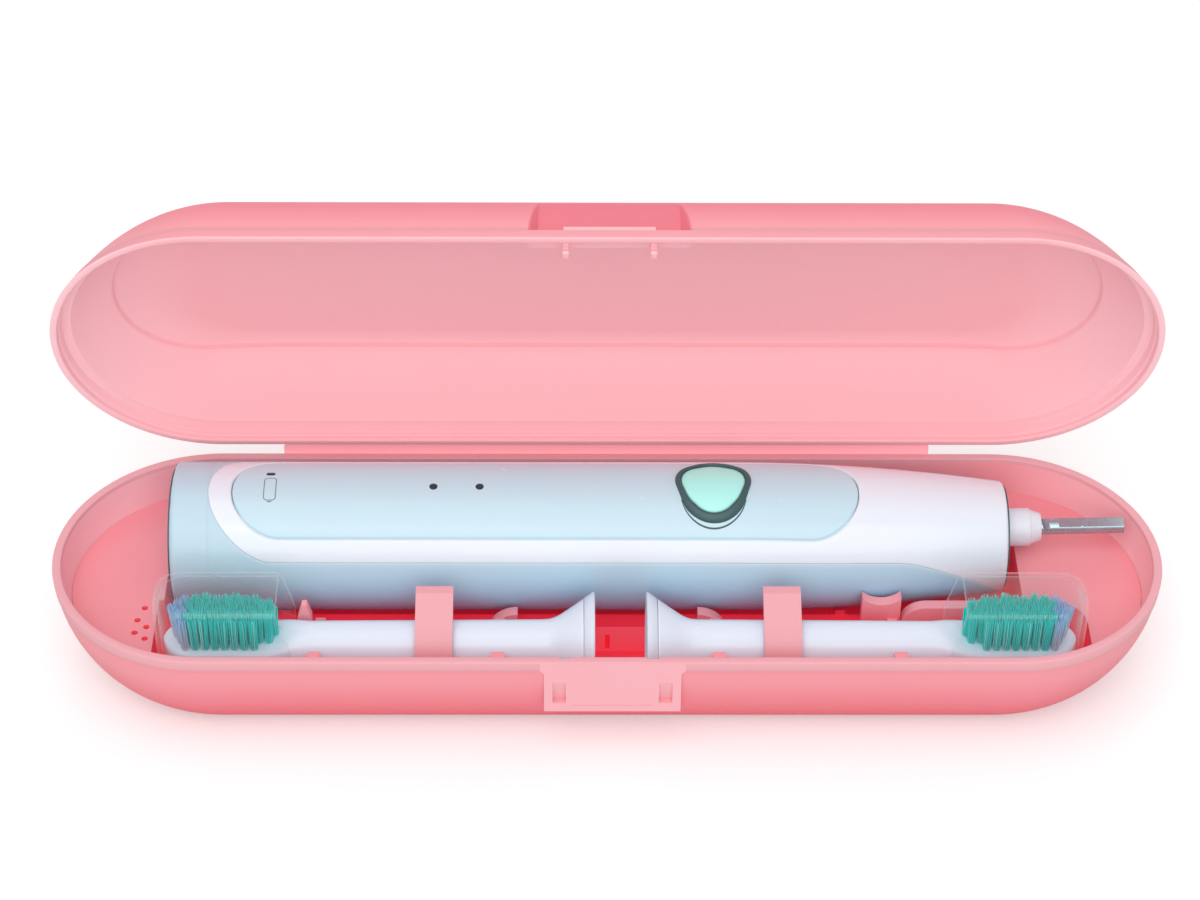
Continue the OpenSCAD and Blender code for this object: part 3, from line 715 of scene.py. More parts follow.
def inset(ring, amount):
    """Moves an outline inward in its own plane."""
    t = np.roll(ring, -1, 0)[:, :2] - np.roll(ring, 1, 0)[:, :2]
    t /= np.linalg.norm(t, axis=1)[:, None]
    out = ring.copy()
    out[:, 0] -= t[:, 1] * amount
    out[:, 1] += t[:, 0] * amount
    return out


def lifted(ring, z):
    out = ring.copy()
    out[:, 2] = z
    return out


def outer_rings(bowl, height, band_z, steps):
    """The outside of a shell from its floor up, with the proud rim band and the rounded lip."""
    rings = [inset(bowl.ring(z), BAND_STEP * min(1.0, i / 4))
             for i, z in enumerate(bowl.stops(steps, band_z - 0.4))]
    rings.append(inset(bowl.ring(band_z - 0.06), BAND_STEP))
    rings.append(inset(bowl.ring(band_z), BAND_STEP * 0.8))
    rings.append(inset(bowl.ring(band_z + 0.1), 0.04))
    rings.append(bowl.ring(band_z + 0.22))
    rim = bowl.ring(height)
    for a in np.radians((0, 30, 60, 90)):
        rings.append(lifted(inset(rim, RIM_R * (1 - math.cos(a))), height - RIM_R * (1 - math.sin(a))))
    return rings


def lip_inside(rim, height, thickness):
    """The inner half of the rounded lip."""
    rings = []
    for a in np.radians((90, 60, 30, 0)):
        depth = thickness - RIM_R * (1 - math.cos(a))
        rings.append(lifted(inset(rim, depth), height - RIM_R * (1 - math.sin(a))))
    return rings


def make_base():
    outside = Bowl(0, BASE_H, BASE_RISE, BASE_SIDE_IN, BASE_END_IN)
    inside = Bowl(WALL, BASE_H, BASE_RISE, BASE_SIDE_IN, BASE_END_IN)
    rings = outer_rings(outside, BASE_H, BASE_BAND_Z, 22)
    rings += lip_inside(outside.ring(BASE_H), BASE_H, WALL)
    rings += [inside.ring(z) for z in reversed(inside.stops(22, BASE_H - 0.7))]
    slot_y = FRONT + WALL - 0.7
    slots = [block(x - 1.2, x + 1.2, slot_y, slot_y + 2.2, BASE_H - 4.2, BASE_H + 1)
             for x in (-LUG_X, LUG_X)]
    pair = carve(rings_to_mesh(rings, True, True), slots)
    new_piece("lower_shell", pair, "case", CASE_PINK, "case_plastic", ("base_shell",), sharp=40)


def opened(points):
    """From the shut lid's place to where it stands open."""
    pivot = (HINGE_Y, HINGE_Z)
    return np.c_[points[:, 0], turned(points[:, 1] - HINGE_Y, points[:, 2] - HINGE_Z, -LID_OPEN, pivot)]


def upturned(pair):
    """A bowl's points as the shut lid has them, rim down."""
    verts = pair[0].copy()
    verts[:, 2] = BASE_H + LID_H - verts[:, 2]
    return verts, [tuple(reversed(f)) for f in pair[1]]


def lid_inside():
    """The lid's inside from the rim in: two shallow steps, the wall, the ledge and the sunk panel."""
    bowl = Bowl(WALL, LID_H, LID_RISE, LID_SIDE_IN, LID_END_IN)
    sunk = Bowl(WALL - CROWN_SINK, LID_H, LID_RISE, LID_SIDE_IN, LID_END_IN)
    top = LID_H - LID_GAP
    half_l = CASE_L / 2
    half_w = CASE_W / 2
    rings = []
    for depth, z in ((1.45, top - 0.9), (1.45, top - 1.5), (1.58, top - 1.68), (1.9, top - 1.72),
                     (1.95, top - 1.84), (2.0, top - 3.2), (2.1, top - 3.55), (2.5, top - 3.7)):
        flat = stadium(half_l - depth, half_w - depth)
        rings.append(np.c_[flat, np.full(len(flat), z)])
    start = bowl.ring(top - 3.95)[:, :2]
    edge = stadium(CROWN_HL, CROWN_HW)
    for t in np.linspace(0, 1, 18):
        rings.append(bowl.over(start * (1 - t) + edge * t))
    rings[-1][:, 2] += 0.03
    crease = bowl.over(edge)
    inner_edge = stadium(CROWN_HL - 0.07, CROWN_HW - 0.07)
    low = sunk.over(inner_edge)
    rings.append(np.c_[inner_edge, crease[:, 2] * 0.8 + low[:, 2] * 0.2])
    rings.append(np.c_[inner_edge, crease[:, 2] * 0.1 + low[:, 2] * 0.9])
    rings.append(sunk.over(stadium(CROWN_HL - 0.2, CROWN_HW - 0.2)))
    flat_l = sunk.half_l - sunk.end_in
    flat_w = sunk.half_w - sunk.side_in
    for t in eased(0.06, 1.0, 12, "high"):
        half_l = CROWN_HL + (flat_l - CROWN_HL) * t
        half_w = CROWN_HW + (flat_w - CROWN_HW) * t
        rings.append(sunk.over(stadium(half_l, half_w)))
    for t in (0.75, 0.5, 0.25, 0.01):
        rings.append(sunk.over(stadium(flat_l - flat_w + flat_w * t, flat_w * t)))
    return rings


def recess_block(half_l, behind, z0, flare):
    """The space in front of the recess's leaning floor; flare widens it towards the outside."""
    floor_y = FRONT + RECESS_DEPTH + behind
    y0 = FRONT - 1.5
    rings = []
    for z in (z0, LEDGE_Z + RECESS_H):
        y1 = floor_y + RECESS_LEAN * (z - LEDGE_Z)
        wide = half_l + flare * (y1 - y0)
        rings.append(np.array([(-wide, y0, z), (wide, y0, z), (half_l, y1, z), (-half_l, y1, z)]))
    return rings_to_mesh(rings, True, True)


def make_lid():
    """The lid's shell with its finger recess, the tongue in that, and the catch lugs."""
    outside = Bowl(0, LID_H, LID_RISE, LID_SIDE_IN, LID_END_IN)
    top = LID_H - LID_GAP
    rings = outer_rings(outside, top, BASE_H + LID_H - LID_BAND_Z, 22)
    rings += lip_inside(outside.ring(top), top, 1.45)
    shell = upturned(rings_to_mesh(rings + lid_inside(), True, True))
    core = [inset(outside.ring(z), 0.12) for z in outside.stops(22, top - 0.3) + [top]]
    core = upturned(rings_to_mesh(core, True, True))
    backing = carve(core, (), (), [recess_block(RECESS_W / 2 + 1.9, 1.7, BASE_H + 2.1, 0.0)])
    pair = carve(shell, [recess_block(RECESS_W / 2, 0.0, LEDGE_Z, RECESS_FLARE)], [backing])
    new_piece("lid_shell", pair, "lid", LID_PINK, "lid_plastic", ("case_lid",), opened, sharp=40)
    tongue = block(-TONGUE_W / 2, TONGUE_W / 2, FRONT + 0.9, FRONT + 3.7, LEDGE_Z - 0.5, LEDGE_Z + 1)
    bevelled(new_piece("lid_tongue", tongue, "lid", PAD_PINK, "lid_plastic", (), opened), 0.25)
    face = FRONT + WALL + 0.55
    low = BASE_H - LUG_DROP
    for name, x in (("left", -LUG_X), ("right", LUG_X)):
        profile = [(face - 1.1, BASE_H + 4), (face - 1.1, BASE_H + 1.2), (face, BASE_H + 0.4),
                   (face, low + 1.0), (face - 0.42, low + 0.6), (face - 0.1, low), (face + 1.28, low),
                   (face + 1.28, BASE_H + 4)]
        lug = prism_x(profile, x - 0.6, x + 0.6)
        bevelled(new_piece(f"{name}_catch_lug", lug, "lid", LID_PINK, "lid_plastic", (), opened), 0.12)


def strip_ends(end, low, high, r):
    """Front view of a strip with rounded upper ends."""
    arc = [(end - r + r * math.sin(a), high - r + r * math.cos(a)) for a in np.linspace(0, math.pi / 2, 7)]
    return arc + [(end, low), (-end, low)] + [(-x, z) for x, z in reversed(arc)]


def make_hinge():
    """Ledge and standing strip on the lower shell, the leaf on the lid, and the film between."""
    top = HINGE_Z - LEAF_GAP
    out = HINGE_Y - 0.07
    end = HINGE_L / 2
    sole = BASE_H - 1.55
    outline = strip_ends(end, sole, top, 1.1)
    rings = [np.array([(x, y, z) for x, z in outline]) for y in (out - 0.88, out)]
    strip = rings_to_mesh(rings, True, True)
    foot = block(-end, end, CASE_W / 2 - 1.1, out, sole, BASE_H - 0.05)
    ledge = new_piece("hinge_ledge", joined(strip, foot), "case", LIT_HINGE_PINK, "case_plastic", outward=False)
    bevelled(ledge, 0.18)
    low = HINGE_Z + LEAF_GAP
    leaf = block(-end + 0.02, end - 0.02, CASE_W / 2 - 1.6, out, low + 0.02, low + 1.58)
    bevelled(new_piece("hinge_leaf", leaf, "lid", LIT_HINGE_PINK, "lid_plastic", (), opened), 0.18)
    inner = []
    outer = []
    steps = 12
    for i in range(steps + 1):
        share = i / steps
        a = math.radians(LID_OPEN) * share
        centre = np.array([HINGE_Y - 0.45, HINGE_Z - 0.1 - 0.2 * (1 - share)])
        ahead = np.array([math.cos(a), math.sin(a)])
        inner.append(centre + ahead * 0.12)
        outer.append(centre + ahead * 0.36)
    film = prism_x(outer + inner[::-1], -end + 1.4, end - 1.4)
    piece = new_piece("fold_film", film, None, LIT_HINGE_PINK, "case_plastic", ("hinge_film",))
    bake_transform(piece)


def make_thumb_pad():
    """Upright pad on the front wall, with rounded inner corners above and two ramps."""
    half = 13.5
    tall = 13.2
    fillet = 0.8
    top = BASE_H - 0.35
    corner = [(half + fillet - fillet * math.cos(a), BASE_BAND_Z - fillet + fillet * math.sin(a))
              for a in np.linspace(0, math.pi / 2, 9)]
    right = [(half, BASE_H - tall)] + corner + [(half + fillet, top)]
    outline = [(PAD_X + x, z) for x, z in right] + [(PAD_X - x, z) for x, z in reversed(right)]
    face = FRONT - 0.01
    ramp_x = 10.5
    ramp_hw = 1.3
    line_z = 12.35

    def back(z):
        return FRONT + 0.9 + 2.2 * ((BASE_H - z) / tall) ** 2

    front_ring = np.array([(x, face, z) for x, z in outline])
    back_ring = np.array([(x, back(z), z) for x, z in outline])
    pad = rings_to_mesh([front_ring, back_ring], True, True)
    cutters = [block(PAD_X - 8, PAD_X + 8, face - 1, face + 0.12, line_z, line_z + 0.25)]
    low = 13.1
    high = low + 5.4
    profile = [(face - 1, low), (face + 1.3, low), (face + 0.05, high), (face - 1, high)]
    for x in (PAD_X - ramp_x, PAD_X + ramp_x):
        cutters.append(prism_x(profile, x - ramp_hw, x + ramp_hw))
    pair = carve(pad, cutters)
    bevelled(new_piece("thumb_pad", pair, "case", PAD_PINK, "case_plastic"), 0.24)


def soften_tray():
    """Small radii on the tray's ribs, decks and clips."""
    for name in ("left_deck", "right_deck", "bay_divider", "handle_rests", "neck_cradles", "neck_prop",
                 "left_clip", "right_clip"):
        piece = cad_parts[name]
        smoothed(piece.data, 30)
        bevelled(piece, 0.28 if "clip" in name else 0.18)


# ------------------------------------------------------------------ handle

def handle_place(points):
    """From the handle's own frame, x along its axis and z out of its front, to the row frame."""
    return np.c_[points[:, 0], turned(points[:, 1], points[:, 2], HANDLE_ROLL, (HANDLE_Y, HANDLE_Z))]


def grip_piece(name, pair, mat, slot, replaces=(), sharp=50, body="handle"):
    """A piece whose points are in the handle's own frame."""
    return new_piece(name, pair, body, mat, slot, replaces, handle_place, sharp)


def drive_place(points):
    """From the drive axis's own frame, zero at the shoulder, to the row frame."""
    tilted = turned(points[:, 0], points[:, 2], SHAFT_TILT, (NOSE_X, SHAFT_N))
    return handle_place(np.c_[tilted[:, 0], points[:, 1], tilted[:, 1]])


def grip_radius(x):
    taper = max(x - TAPER_X, 0) / (NOSE_X - TAPER_X)
    r = GRIP_R - (GRIP_R - NOSE_R) * taper ** 2
    for edge, past in ((FOOT_EDGE, FOOT_EDGE - (x + FOOT_X)), (NOSE_EDGE, NOSE_EDGE - (NOSE_X - x))):
        if past > 0:
            r -= edge - math.sqrt(max(edge ** 2 - past ** 2, 0))
    return r


# the white shell's lower edge on the nose: (x, height above the axis)
NOSE_LINE = [(25, 7.75), (36, 7.55), (46, 7.2), (54, 6.85), (61, 6.3), (65, 5.2), (68, 4.0), (72, 2.2),
             (76, -0.2), (79.5, -3.2), (81.8, -6.8)]


def smooth_line(points, x):
    """Monotone cubic through the points."""
    xs, ys = np.array(points, float).T
    slopes = np.diff(ys) / np.diff(xs)
    inner = [0 if a * b <= 0 else 2 * a * b / (a + b) for a, b in zip(slopes, slopes[1:])]
    m = np.r_[slopes[0], inner, slopes[-1]]
    i = int(np.clip(np.searchsorted(xs, x) - 1, 0, len(xs) - 2))
    h = xs[i + 1] - xs[i]
    t = (x - xs[i]) / h
    return ((2 * t ** 3 - 3 * t ** 2 + 1) * ys[i] + (t ** 3 - 2 * t ** 2 + t) * h * m[i]
            + (-2 * t ** 3 + 3 * t ** 2) * ys[i + 1] + (t ** 3 - t ** 2) * h * m[i + 1])


def band_reach(x, x0, x1, half):
    """Half width of a round-ended band at x, or 0 beyond its ends."""
    d = max(x0 + half - x, x - (x1 - half), 0)
    return math.sqrt(max(half * half - d * d, 0)) if d < half else 0.0


def white_angle(x):
    """Angle from the front line to the white shell's edge."""
    r = grip_radius(x)
    if x < TAPER_X:
        return math.asin(min(band_reach(x, WHITE_X0, 999, WHITE_HW) / r, 1))
    return math.acos(max(-1, min(1, smooth_line(NOSE_LINE, x) / r)))


def panel_angle(x):
    """Angle to the edge of the panel's bed."""
    reach = band_reach(x, PANEL_X0 - GROOVE, PANEL_X1 + GROOVE, PANEL_HW + GROOVE)
    return math.asin(min(reach / grip_radius(x), 1))


# how a skin's edge turns down into the groove: depth and reach of a sharp bend and of a soft one
CURL = ((0.34, 0.13), (0.05, 0.4))

# distances from a skin's edge at which its points stand
NEAR_EDGE = [0, 0.05, 0.11, 0.18, 0.28, 0.42, 0.65, 1.0]


def curl(distance):
    """How far a skin's edge turns down, by the distance from the edge."""
    return sum(depth * math.exp(-(distance / reach) ** 2) for depth, reach in CURL)


def edge_columns(arc, inner=26):
    """Shares of an arc's length, crowded by true distance near both ends."""
    near = NEAR_EDGE
    short = 2.5
    if arc < short:
        near = [d * arc / short for d in near]
    middle = np.linspace(near[-1], arc - near[-1], inner)[1:-1]
    return np.r_[near, middle, [arc - d for d in reversed(near)]] / max(arc, 1e-9)


def skin(stations, low, high, gap):
    """A strip of the grip between two edge angles at each station; gap gives the distance to an edge."""
    points = []
    cols = 0
    for x in stations:
        r = grip_radius(x)
        a0 = low(x)
        a1 = high(x)
        shares = edge_columns(max((a1 - a0) * r, 1e-4))
        cols = len(shares)
        for a in a0 + (a1 - a0) * shares:
            points.append(on_ring(x, r - curl(gap(x, a, r)), a))
    return np.array(points), grid_faces(len(stations), cols)


def band_gap(x0, x1, half):
    """Distance from a point of the grip to a round-ended outline, measured in plan."""
    def gap(x, a, r):
        dx = max(x0 + half - x, x - (x1 - half), 0)
        return abs(half - math.hypot(dx, r * math.sin(a))) if math.cos(a) > 0 else 99.0
    return gap


white_end_gap = band_gap(WHITE_X0, 999, WHITE_HW)
bed_gap = band_gap(PANEL_X0 - GROOVE, PANEL_X1 + GROOVE, PANEL_HW + GROOVE)


def nose_stations():
    edge = NOSE_X - NOSE_EDGE
    return list(np.linspace(79.8, edge, 3)) + list(np.linspace(edge + 0.15, NOSE_X, 5))


def make_rear_skin():
    """Blue shell: all round behind the white one, and in at the foot to its cap."""
    xs = list(np.linspace(-FOOT_X, -FOOT_X + FOOT_EDGE, 7)) + list(np.linspace(-87.2, WHITE_X0 - 0.8, 8))
    xs += [WHITE_X0 - 0.4, WHITE_X0 - 0.2, WHITE_X0 - 0.1, WHITE_X0 - 0.03]
    xs += eased(WHITE_X0, WHITE_X0 + WHITE_HW, 34, "low") + list(np.linspace(-66, 23, 23))
    xs += list(np.linspace(TAPER_X, 79, 46)) + nose_stations()

    def low(x):
        return white_angle(x) + SEAM / grip_radius(x) if x >= WHITE_X0 else 1e-4

    def gap(x, a, r):
        if x > WHITE_X0 + WHITE_HW or math.cos(a) < 0:
            return min(a - low(x), 2 * math.pi - low(x) - a) * r + SEAM_SOFT if x >= WHITE_X0 else 99.0
        return white_end_gap(x, a, r) + SEAM_SOFT

    points, faces = skin(xs, low, lambda x: 2 * math.pi - low(x), gap)
    cols = len(points) // len(xs)
    angles = [math.atan2(-y, z) for _, y, z in points[:cols]]
    ring = []
    for x, r in ((0, grip_radius(-FOOT_X)), (0, 12.35), (0.03, 12.2), (0.35, 12.1)):
        ring += [on_ring(x - FOOT_X, r, a) for a in angles]
    pair = joined((points, faces), (np.array(ring), grid_faces(4, cols)))
    grip_piece("rear_skin", pair, BLUE, "handle_blue", ("rear_shell",))


def make_front_skin():
    """White shell: its foot end, the strips beside the panel, then the nose in one."""
    def gap(x, a, r):
        d = bed_gap(x, a, r)
        if x < WHITE_X0 + WHITE_HW:
            return min(d, white_end_gap(x, a, r) + SEAM_SOFT)
        return min(d, abs(white_angle(x) - abs(a)) * r + SEAM_SOFT)

    bed0 = PANEL_X0 - GROOVE
    bed1 = PANEL_X1 + GROOVE
    foot_end = eased(WHITE_X0, bed0, 22)
    along = eased(bed0, bed0 + PANEL_HW, 34, "low") + list(np.linspace(-64, 23, 23))
    along += list(np.linspace(TAPER_X, 40, 6)) + eased(bed1 - PANEL_HW, bed1, 34, "high")
    nose = list(np.linspace(bed1, 79, 29)) + nose_stations()

    def left(x):
        return -white_angle(x)

    parts = [skin(foot_end, left, white_angle, gap), skin(along, panel_angle, white_angle, gap),
             skin(along, left, lambda x: -panel_angle(x), gap), skin(nose, left, white_angle, gap)]
    pair = joined(*parts)
    grip_piece("front_skin", pair, WHITE, "handle_white", ("front_shell",))


def make_shoulder():
    """End face round the collar, white above and blue below."""
    hole = 4.1
    rim_r = grip_radius(NOSE_X)
    edge = white_angle(NOSE_X)
    for name, mat, slot, a0, a1 in (("shoulder_front", WHITE, "handle_white", -edge, edge),
                                    ("shoulder_rear", BLUE, "handle_blue", edge, 2 * math.pi - edge)):
        points = []
        for k in np.linspace(0, 1, 6):
            r = rim_r * (1 - k) + hole * k
            points += [(NOSE_X, -r * math.sin(a), r * math.cos(a) + SHAFT_N * k)
                       for a in np.linspace(a0, a1, 48)]
        grip_piece(name, (points, grid_faces(6, 48)), mat, slot)


def make_shade_rings():
    """Painted shade: dark rings at both ends of the grip, for the shadow gaps at the nose and at the foot.
    """
    for name, x, out in (("nose_shade_ring", NOSE_X, 0.3), ("foot_shade_ring", -FOOT_X, -0.28)):
        edge = grip_radius(x) - 0.05
        profile = [(x - out / 3, edge), (x + out, edge), (x + out, edge - 0.8), (x - out / 3, edge - 0.8)]
        pair = rings_to_mesh(turned_rings(profile + profile[:1], 96))
        grip_piece(name, pair, SEAL, "seal_rubber")


def make_foot_cap():
    face = -FOOT_X + 0.02
    profile = [(-FOOT_X + 3, 12.0), (face, 12.0), (face, 10.2), (face + 0.26, 9.9), (face + 0.26, 0.0)]
    pair = rings_to_mesh(turned_rings(rounded(profile, 0.25), 96), True, False)
    grip_piece("foot_cap", pair, BLUE, "handle_blue", ("end_cap",))


def make_panel():
    """Pale panel on the grip's curve, its edge turned down into the groove."""
    loops = []
    for d in NEAR_EDGE + [1.7, 2.6, 3.6, 4.6, 5.6, 6.6, 7.6, 8.6, 9.4, 9.98]:
        ring = stadium((PANEL_X1 - PANEL_X0) / 2 - d, PANEL_HW - d, 40, 60)
        ring[:, 0] += (PANEL_X0 + PANEL_X1) / 2
        r = np.array([grip_radius(x) for x in ring[:, 0]]) - curl(d)
        loops.append(np.c_[ring, np.sqrt(np.maximum(r ** 2 - ring[:, 1] ** 2, 0))])
    pair = rings_to_mesh(loops, False, True)
    grip_piece("panel_skin", pair, PANEL, "panel_film", ("control_panel",))


def hull_outline(circles, count=120):
    """Convex outline round some circles, anticlockwise from +x, as evenly spaced points."""
    points = []
    for a in np.linspace(0, 2 * math.pi, 720, endpoint=False):
        d = np.array([math.cos(a), math.sin(a)])
        x, y, r = max(circles, key=lambda c: c[0] * d[0] + c[1] * d[1] + c[2])
        points.append(np.array([x, y]) + r * d)
    points = np.array(points + points[:1])
    run = np.r_[0, np.cumsum(np.linalg.norm(np.diff(points, axis=0), axis=1))]
    at = np.linspace(0, run[-1], count, endpoint=False)
    return np.c_[np.interp(at, run, points[:, 0]), np.interp(at, run, points[:, 1])]


BUTTON_EDGE = hull_outline(((2.75, 1.3, 5.1), (-2.75, 1.3, 5.1), (0, -3.0, 6.6), (0, 0.4, 7.4)))
BUTTON_FACE = hull_outline(((2.15, 1.1, 4.25), (-2.15, 1.1, 4.25), (0, -1.9, 4.5), (0, 0.1, 5.9)))


def button_ring(share, height, scale=1.0):
    """Loop between the button's edge, at 0, and its face, at 1, with a height over the plan."""
    flat = (BUTTON_EDGE * (1 - share)[:, None] + BUTTON_FACE * share[:, None]) * scale
    x = flat[:, 0]
    y = flat[:, 1] + BUTTON_Y
    return np.c_[BUTTON_X + x, y, height(x, y)]


def make_button():
    """Dark collar proud of the panel, a dark line below it that paints the shade of a fine groove, and the
    mint button inside.
    """
    front = np.clip(-BUTTON_EDGE[:, 1] / 9.6, 0, 1) ** 2
    even = np.ones(len(BUTTON_EDGE))

    def above_grip(lift):
        return lambda x, y: np.sqrt(GRIP_R ** 2 - y ** 2) + lift

    start = 0.03 + 0.29 * front
    rings = []
    for share, lift in ((0.0, -0.3), (0.02, 0.15), (0.14, 0.55), (0.34, 0.82), (0.52, 0.9), (0.7, 0.82),
                        (0.84, 0.45), (0.93, 0.0), (1.0, -0.8)):
        rings.append(button_ring(start + (1 - start) * share, above_grip(lift)))
    pair = rings_to_mesh(rings)
    grip_piece("button_ring", pair, SEAL, "seal_rubber", ("button_seal",), 60)
    # painted shade: a thin dark band round the button's edge, for the groove's shade
    sunk = np.clip(1 - front * 6, 0, 1) * 0.4
    rings = []
    for share, lift in ((0.0, -0.2), (0.0, 0.03), (0.1, 0.03), (0.1, -0.2)):
        rings.append(button_ring(share * even, above_grip(lift - sunk)))
    pair = rings_to_mesh(rings)
    grip_piece("button_groove_shade", pair, SEAL, "seal_rubber", (), 60)
    rings = [button_ring(share * even, above_grip(lift))
             for share, lift in ((0.9, -1.8), (0.9, -0.3), (0.93, 0.1), (0.97, 0.28), (1.0, 0.36))]
    for scale, lift in ((0.96, 0.46), (0.9, 0.54), (0.78, 0.62), (0.64, 0.68), (0.5, 0.72), (0.36, 0.75),
                        (0.22, 0.76), (0.1, 0.77), (0.02, 0.77)):
        rings.append(button_ring(even, above_grip(lift), scale))
    pair = rings_to_mesh(rings, True, True)
    grip_piece("button_cap", pair, MINT, "button_rubber", ("power_button",), 60, "button")


def on_panel(centre, outline, lift):
    """Lays a small outline on the panel round a point, raised by a little."""
    flat = [(centre[0] + x, centre[1] + y) for x, y in outline]
    return np.array([(x, y, math.sqrt(grip_radius(x) ** 2 - y ** 2) + lift) for x, y in flat])


def rounded_box(hx, hy, r, steps=8, side=10):
    """Rounded rectangle with points along its straight sides too."""
    out = []
    corners = [(hx - r, hy - r), (-hx + r, hy - r), (-hx + r, -hy + r), (hx - r, -hy + r)]
    for k, (cx, cy) in enumerate(corners):
        for i in range(steps + 1):
            a = math.radians(90 * k + 90 * i / steps)
            out.append((cx + r * math.cos(a), cy + r * math.sin(a)))
        a = math.radians(90 * k + 90)
        nx, ny = corners[(k + 1) % 4]
        for t in np.linspace(0, 1, side + 1)[1:-1]:
            out.append((cx + (nx - cx) * t + r * math.cos(a), cy + (ny - cy) * t + r * math.sin(a)))
    return out


def make_lamps():
    """Lens buttons let into the panel, and the battery outline as a thin printed line."""
    parts = []
    for lamp in MODE_LAMPS:
        rings = []
        for r, lift in ((0.86, -0.3), (0.84, 0.02), (0.7, 0.07), (0.4, 0.1), (0.02, 0.11)):
            circle = [(r * math.cos(t), r * math.sin(t)) for t in np.linspace(0, 2 * math.pi, 33)[:-1]]
            rings.append(on_panel(lamp, circle, lift))
        parts.append(rings_to_mesh(rings, False, True))
    pair = joined(*parts)
    grip_piece("mode_lamp_lenses", pair, LENS, "lens_plastic", ("mode_lenses",), 60)
    rings = []
    for shrink, lift in ((0, -0.3), (0.02, 0.02), (0.12, 0.07), (0.3, 0.09), (0.48, 0.1)):
        rings.append(on_panel(CHARGE_LAMP, stadium(0.95 - shrink, 0.5 - shrink, 12, 3), lift))
    pair = rings_to_mesh(rings, False, True)
    grip_piece("charge_lamp_lens", pair, LENS, "lens_plastic", ("charge_lens",), 60)
    rings = []
    for grow in (0.1, -0.1):
        rings.append(on_panel(BATTERY_MARK, rounded_box(1.2 + grow, 2.9 + grow, 0.7 + grow), 0.015))
    below = (BATTERY_MARK[0], BATTERY_MARK[1] - 3.25)
    nub = rings_to_mesh([on_panel(below, rounded_box(0.45, 0.13, 0.1), 0.015)], False, True)
    pair = joined(rings_to_mesh(rings), nub)
    grip_piece("charge_mark", pair, MARK, "lens_plastic", (), 60)


def make_collar():
    """Pale seal round the shaft: a cylinder with a fine groove, then a short cone."""
    profile = [(-1.0, 1.72), (-1.0, 3.93), (0.35, 3.93), (0.35, 3.75), (0.75, 3.75), (0.75, 3.93),
               (5.3, 3.93), (5.5, 3.6), (7.7, 2.8), (7.7, 1.72)]
    profile = rounded(profile, 0.2)
    pair = rings_to_mesh(turned_rings(profile, 72))
    new_piece("shaft_collar", pair, "handle", SEAL_WHITE, "seal_white", ("shaft_seal",), drive_place, 50)


# ------------------------------------------------------------------ brush heads

def head_place(side):
    """Local x runs from the flared end to the tip, z up."""
    sign = -1 if side == "left" else 1

    def place(points):
        return np.c_[HEAD_X[side] + sign * points[:, 0], HEAD_Y + points[:, 1], HEAD_Z + points[:, 2]]
    return place


def flare_at(s):
    return FLARE_R + (NECK_R - FLARE_R) * s / CONE_END


def neck_section(s):
    """Half width, depth below, height above and squareness of the neck at s."""
    r = NECK_R - 0.3 * max(s - CONE_END, 0) / (PLATE_START - CONE_END)
    if s < PLATE_START:
        cone = flare_at(s) - 0.05
        r = max(r, cone) + 0.35 * math.exp(-abs(cone - r) / 0.5)
        return r, r, r, 2.0
    r = NECK_R - 0.3
    u = min((s - PLATE_START) / PLATE_BLEND, 1)
    e = u * u * (3 - 2 * u)
    wide = r * (1 - e) + PLATE_HW * e
    low = r * (1 - e) + PLATE_LOW * e
    high = r * (1 - e) + PLATE_TOP * e
    round_start = PLATE_END - PLATE_HW
    if s > round_start:
        d = min((s - round_start) / PLATE_HW, 0.9999)
        wide *= math.sqrt(1 - d * d)
        low -= 0.9 * d ** 6
        high -= 0.35 * d ** 10
    return wide, low, high, 2.0 + 2.6 * e


def section_ring(s, wide, low, high, power, count=72):
    points = []
    for a in np.linspace(0, 2 * math.pi, count, endpoint=False):
        c = math.cos(a)
        t = math.sin(a)
        y = wide * math.copysign(abs(t) ** (2 / power), t)
        z = (high if c > 0 else low) * math.copysign(abs(c) ** (2 / power), c)
        points.append((s, -y, z))
    return np.array(points)


def make_neck(side):
    """Neck from the mouth of its flared end to the plate, and the ring at that end."""
    place = head_place(side)
    rings = []
    for s, r in ((9.0, 3.4), (8.0, 3.9), (RING_L + 0.3, 7.7), (RING_L + 0.07, flare_at(RING_L) - 0.3),
                 (RING_L + 0.07, flare_at(RING_L) - 0.16)):
        rings.append(section_ring(s, r, r, r, 2.0))
    straight = PLATE_END - PLATE_HW
    stations = list(np.linspace(RING_L + 0.15, 10.5, 22)) + list(np.linspace(11.5, 56, 24))
    stations += list(np.linspace(57, 66, 14)) + list(np.linspace(67, straight, 10))
    stations += eased(straight + 0.4, PLATE_END, 14, "high")
    rings += [section_ring(s, *neck_section(s)) for s in stations]
    pair = rings_to_mesh(rings, False, True)
    head = f"{side}_head"
    new_piece(f"{side}_neck_body", pair, head, NECK, "neck_plastic", (f"{side}_neck",), place, 55)
    end = RING_L - 0.04
    profile = [(end, 7.7), (0.2, 9.15), (0.0, 9.3), (0.0, FLARE_R - 0.55), (0.1, FLARE_R - 0.36),
               (0.3, flare_at(0.3)), (end - 0.08, flare_at(end - 0.08)), (end, flare_at(end) - 0.14)]
    pair = rings_to_mesh(turned_rings(profile, 96))
    new_piece(f"{side}_flare_ring", pair, head, NECK, "neck_plastic", (f"{side}_ring",), place, 50)


def tuft_places():
    """Centres of the tufts, along the head and across it: staggered rows inside an oval."""
    out = []
    for i in range(14):
        for j in range(-2, 3):
            s = TUFT_START + i * TUFT_GAP + (0 if j % 2 == 0 else TUFT_GAP / 2)
            y = j * TUFT_ROW
            if s < TUFT_END and ((s - TUFT_MID) / TUFT_HL) ** 2 + (y / TUFT_HW) ** 2 < 1:
                out.append((s, y))
    return out


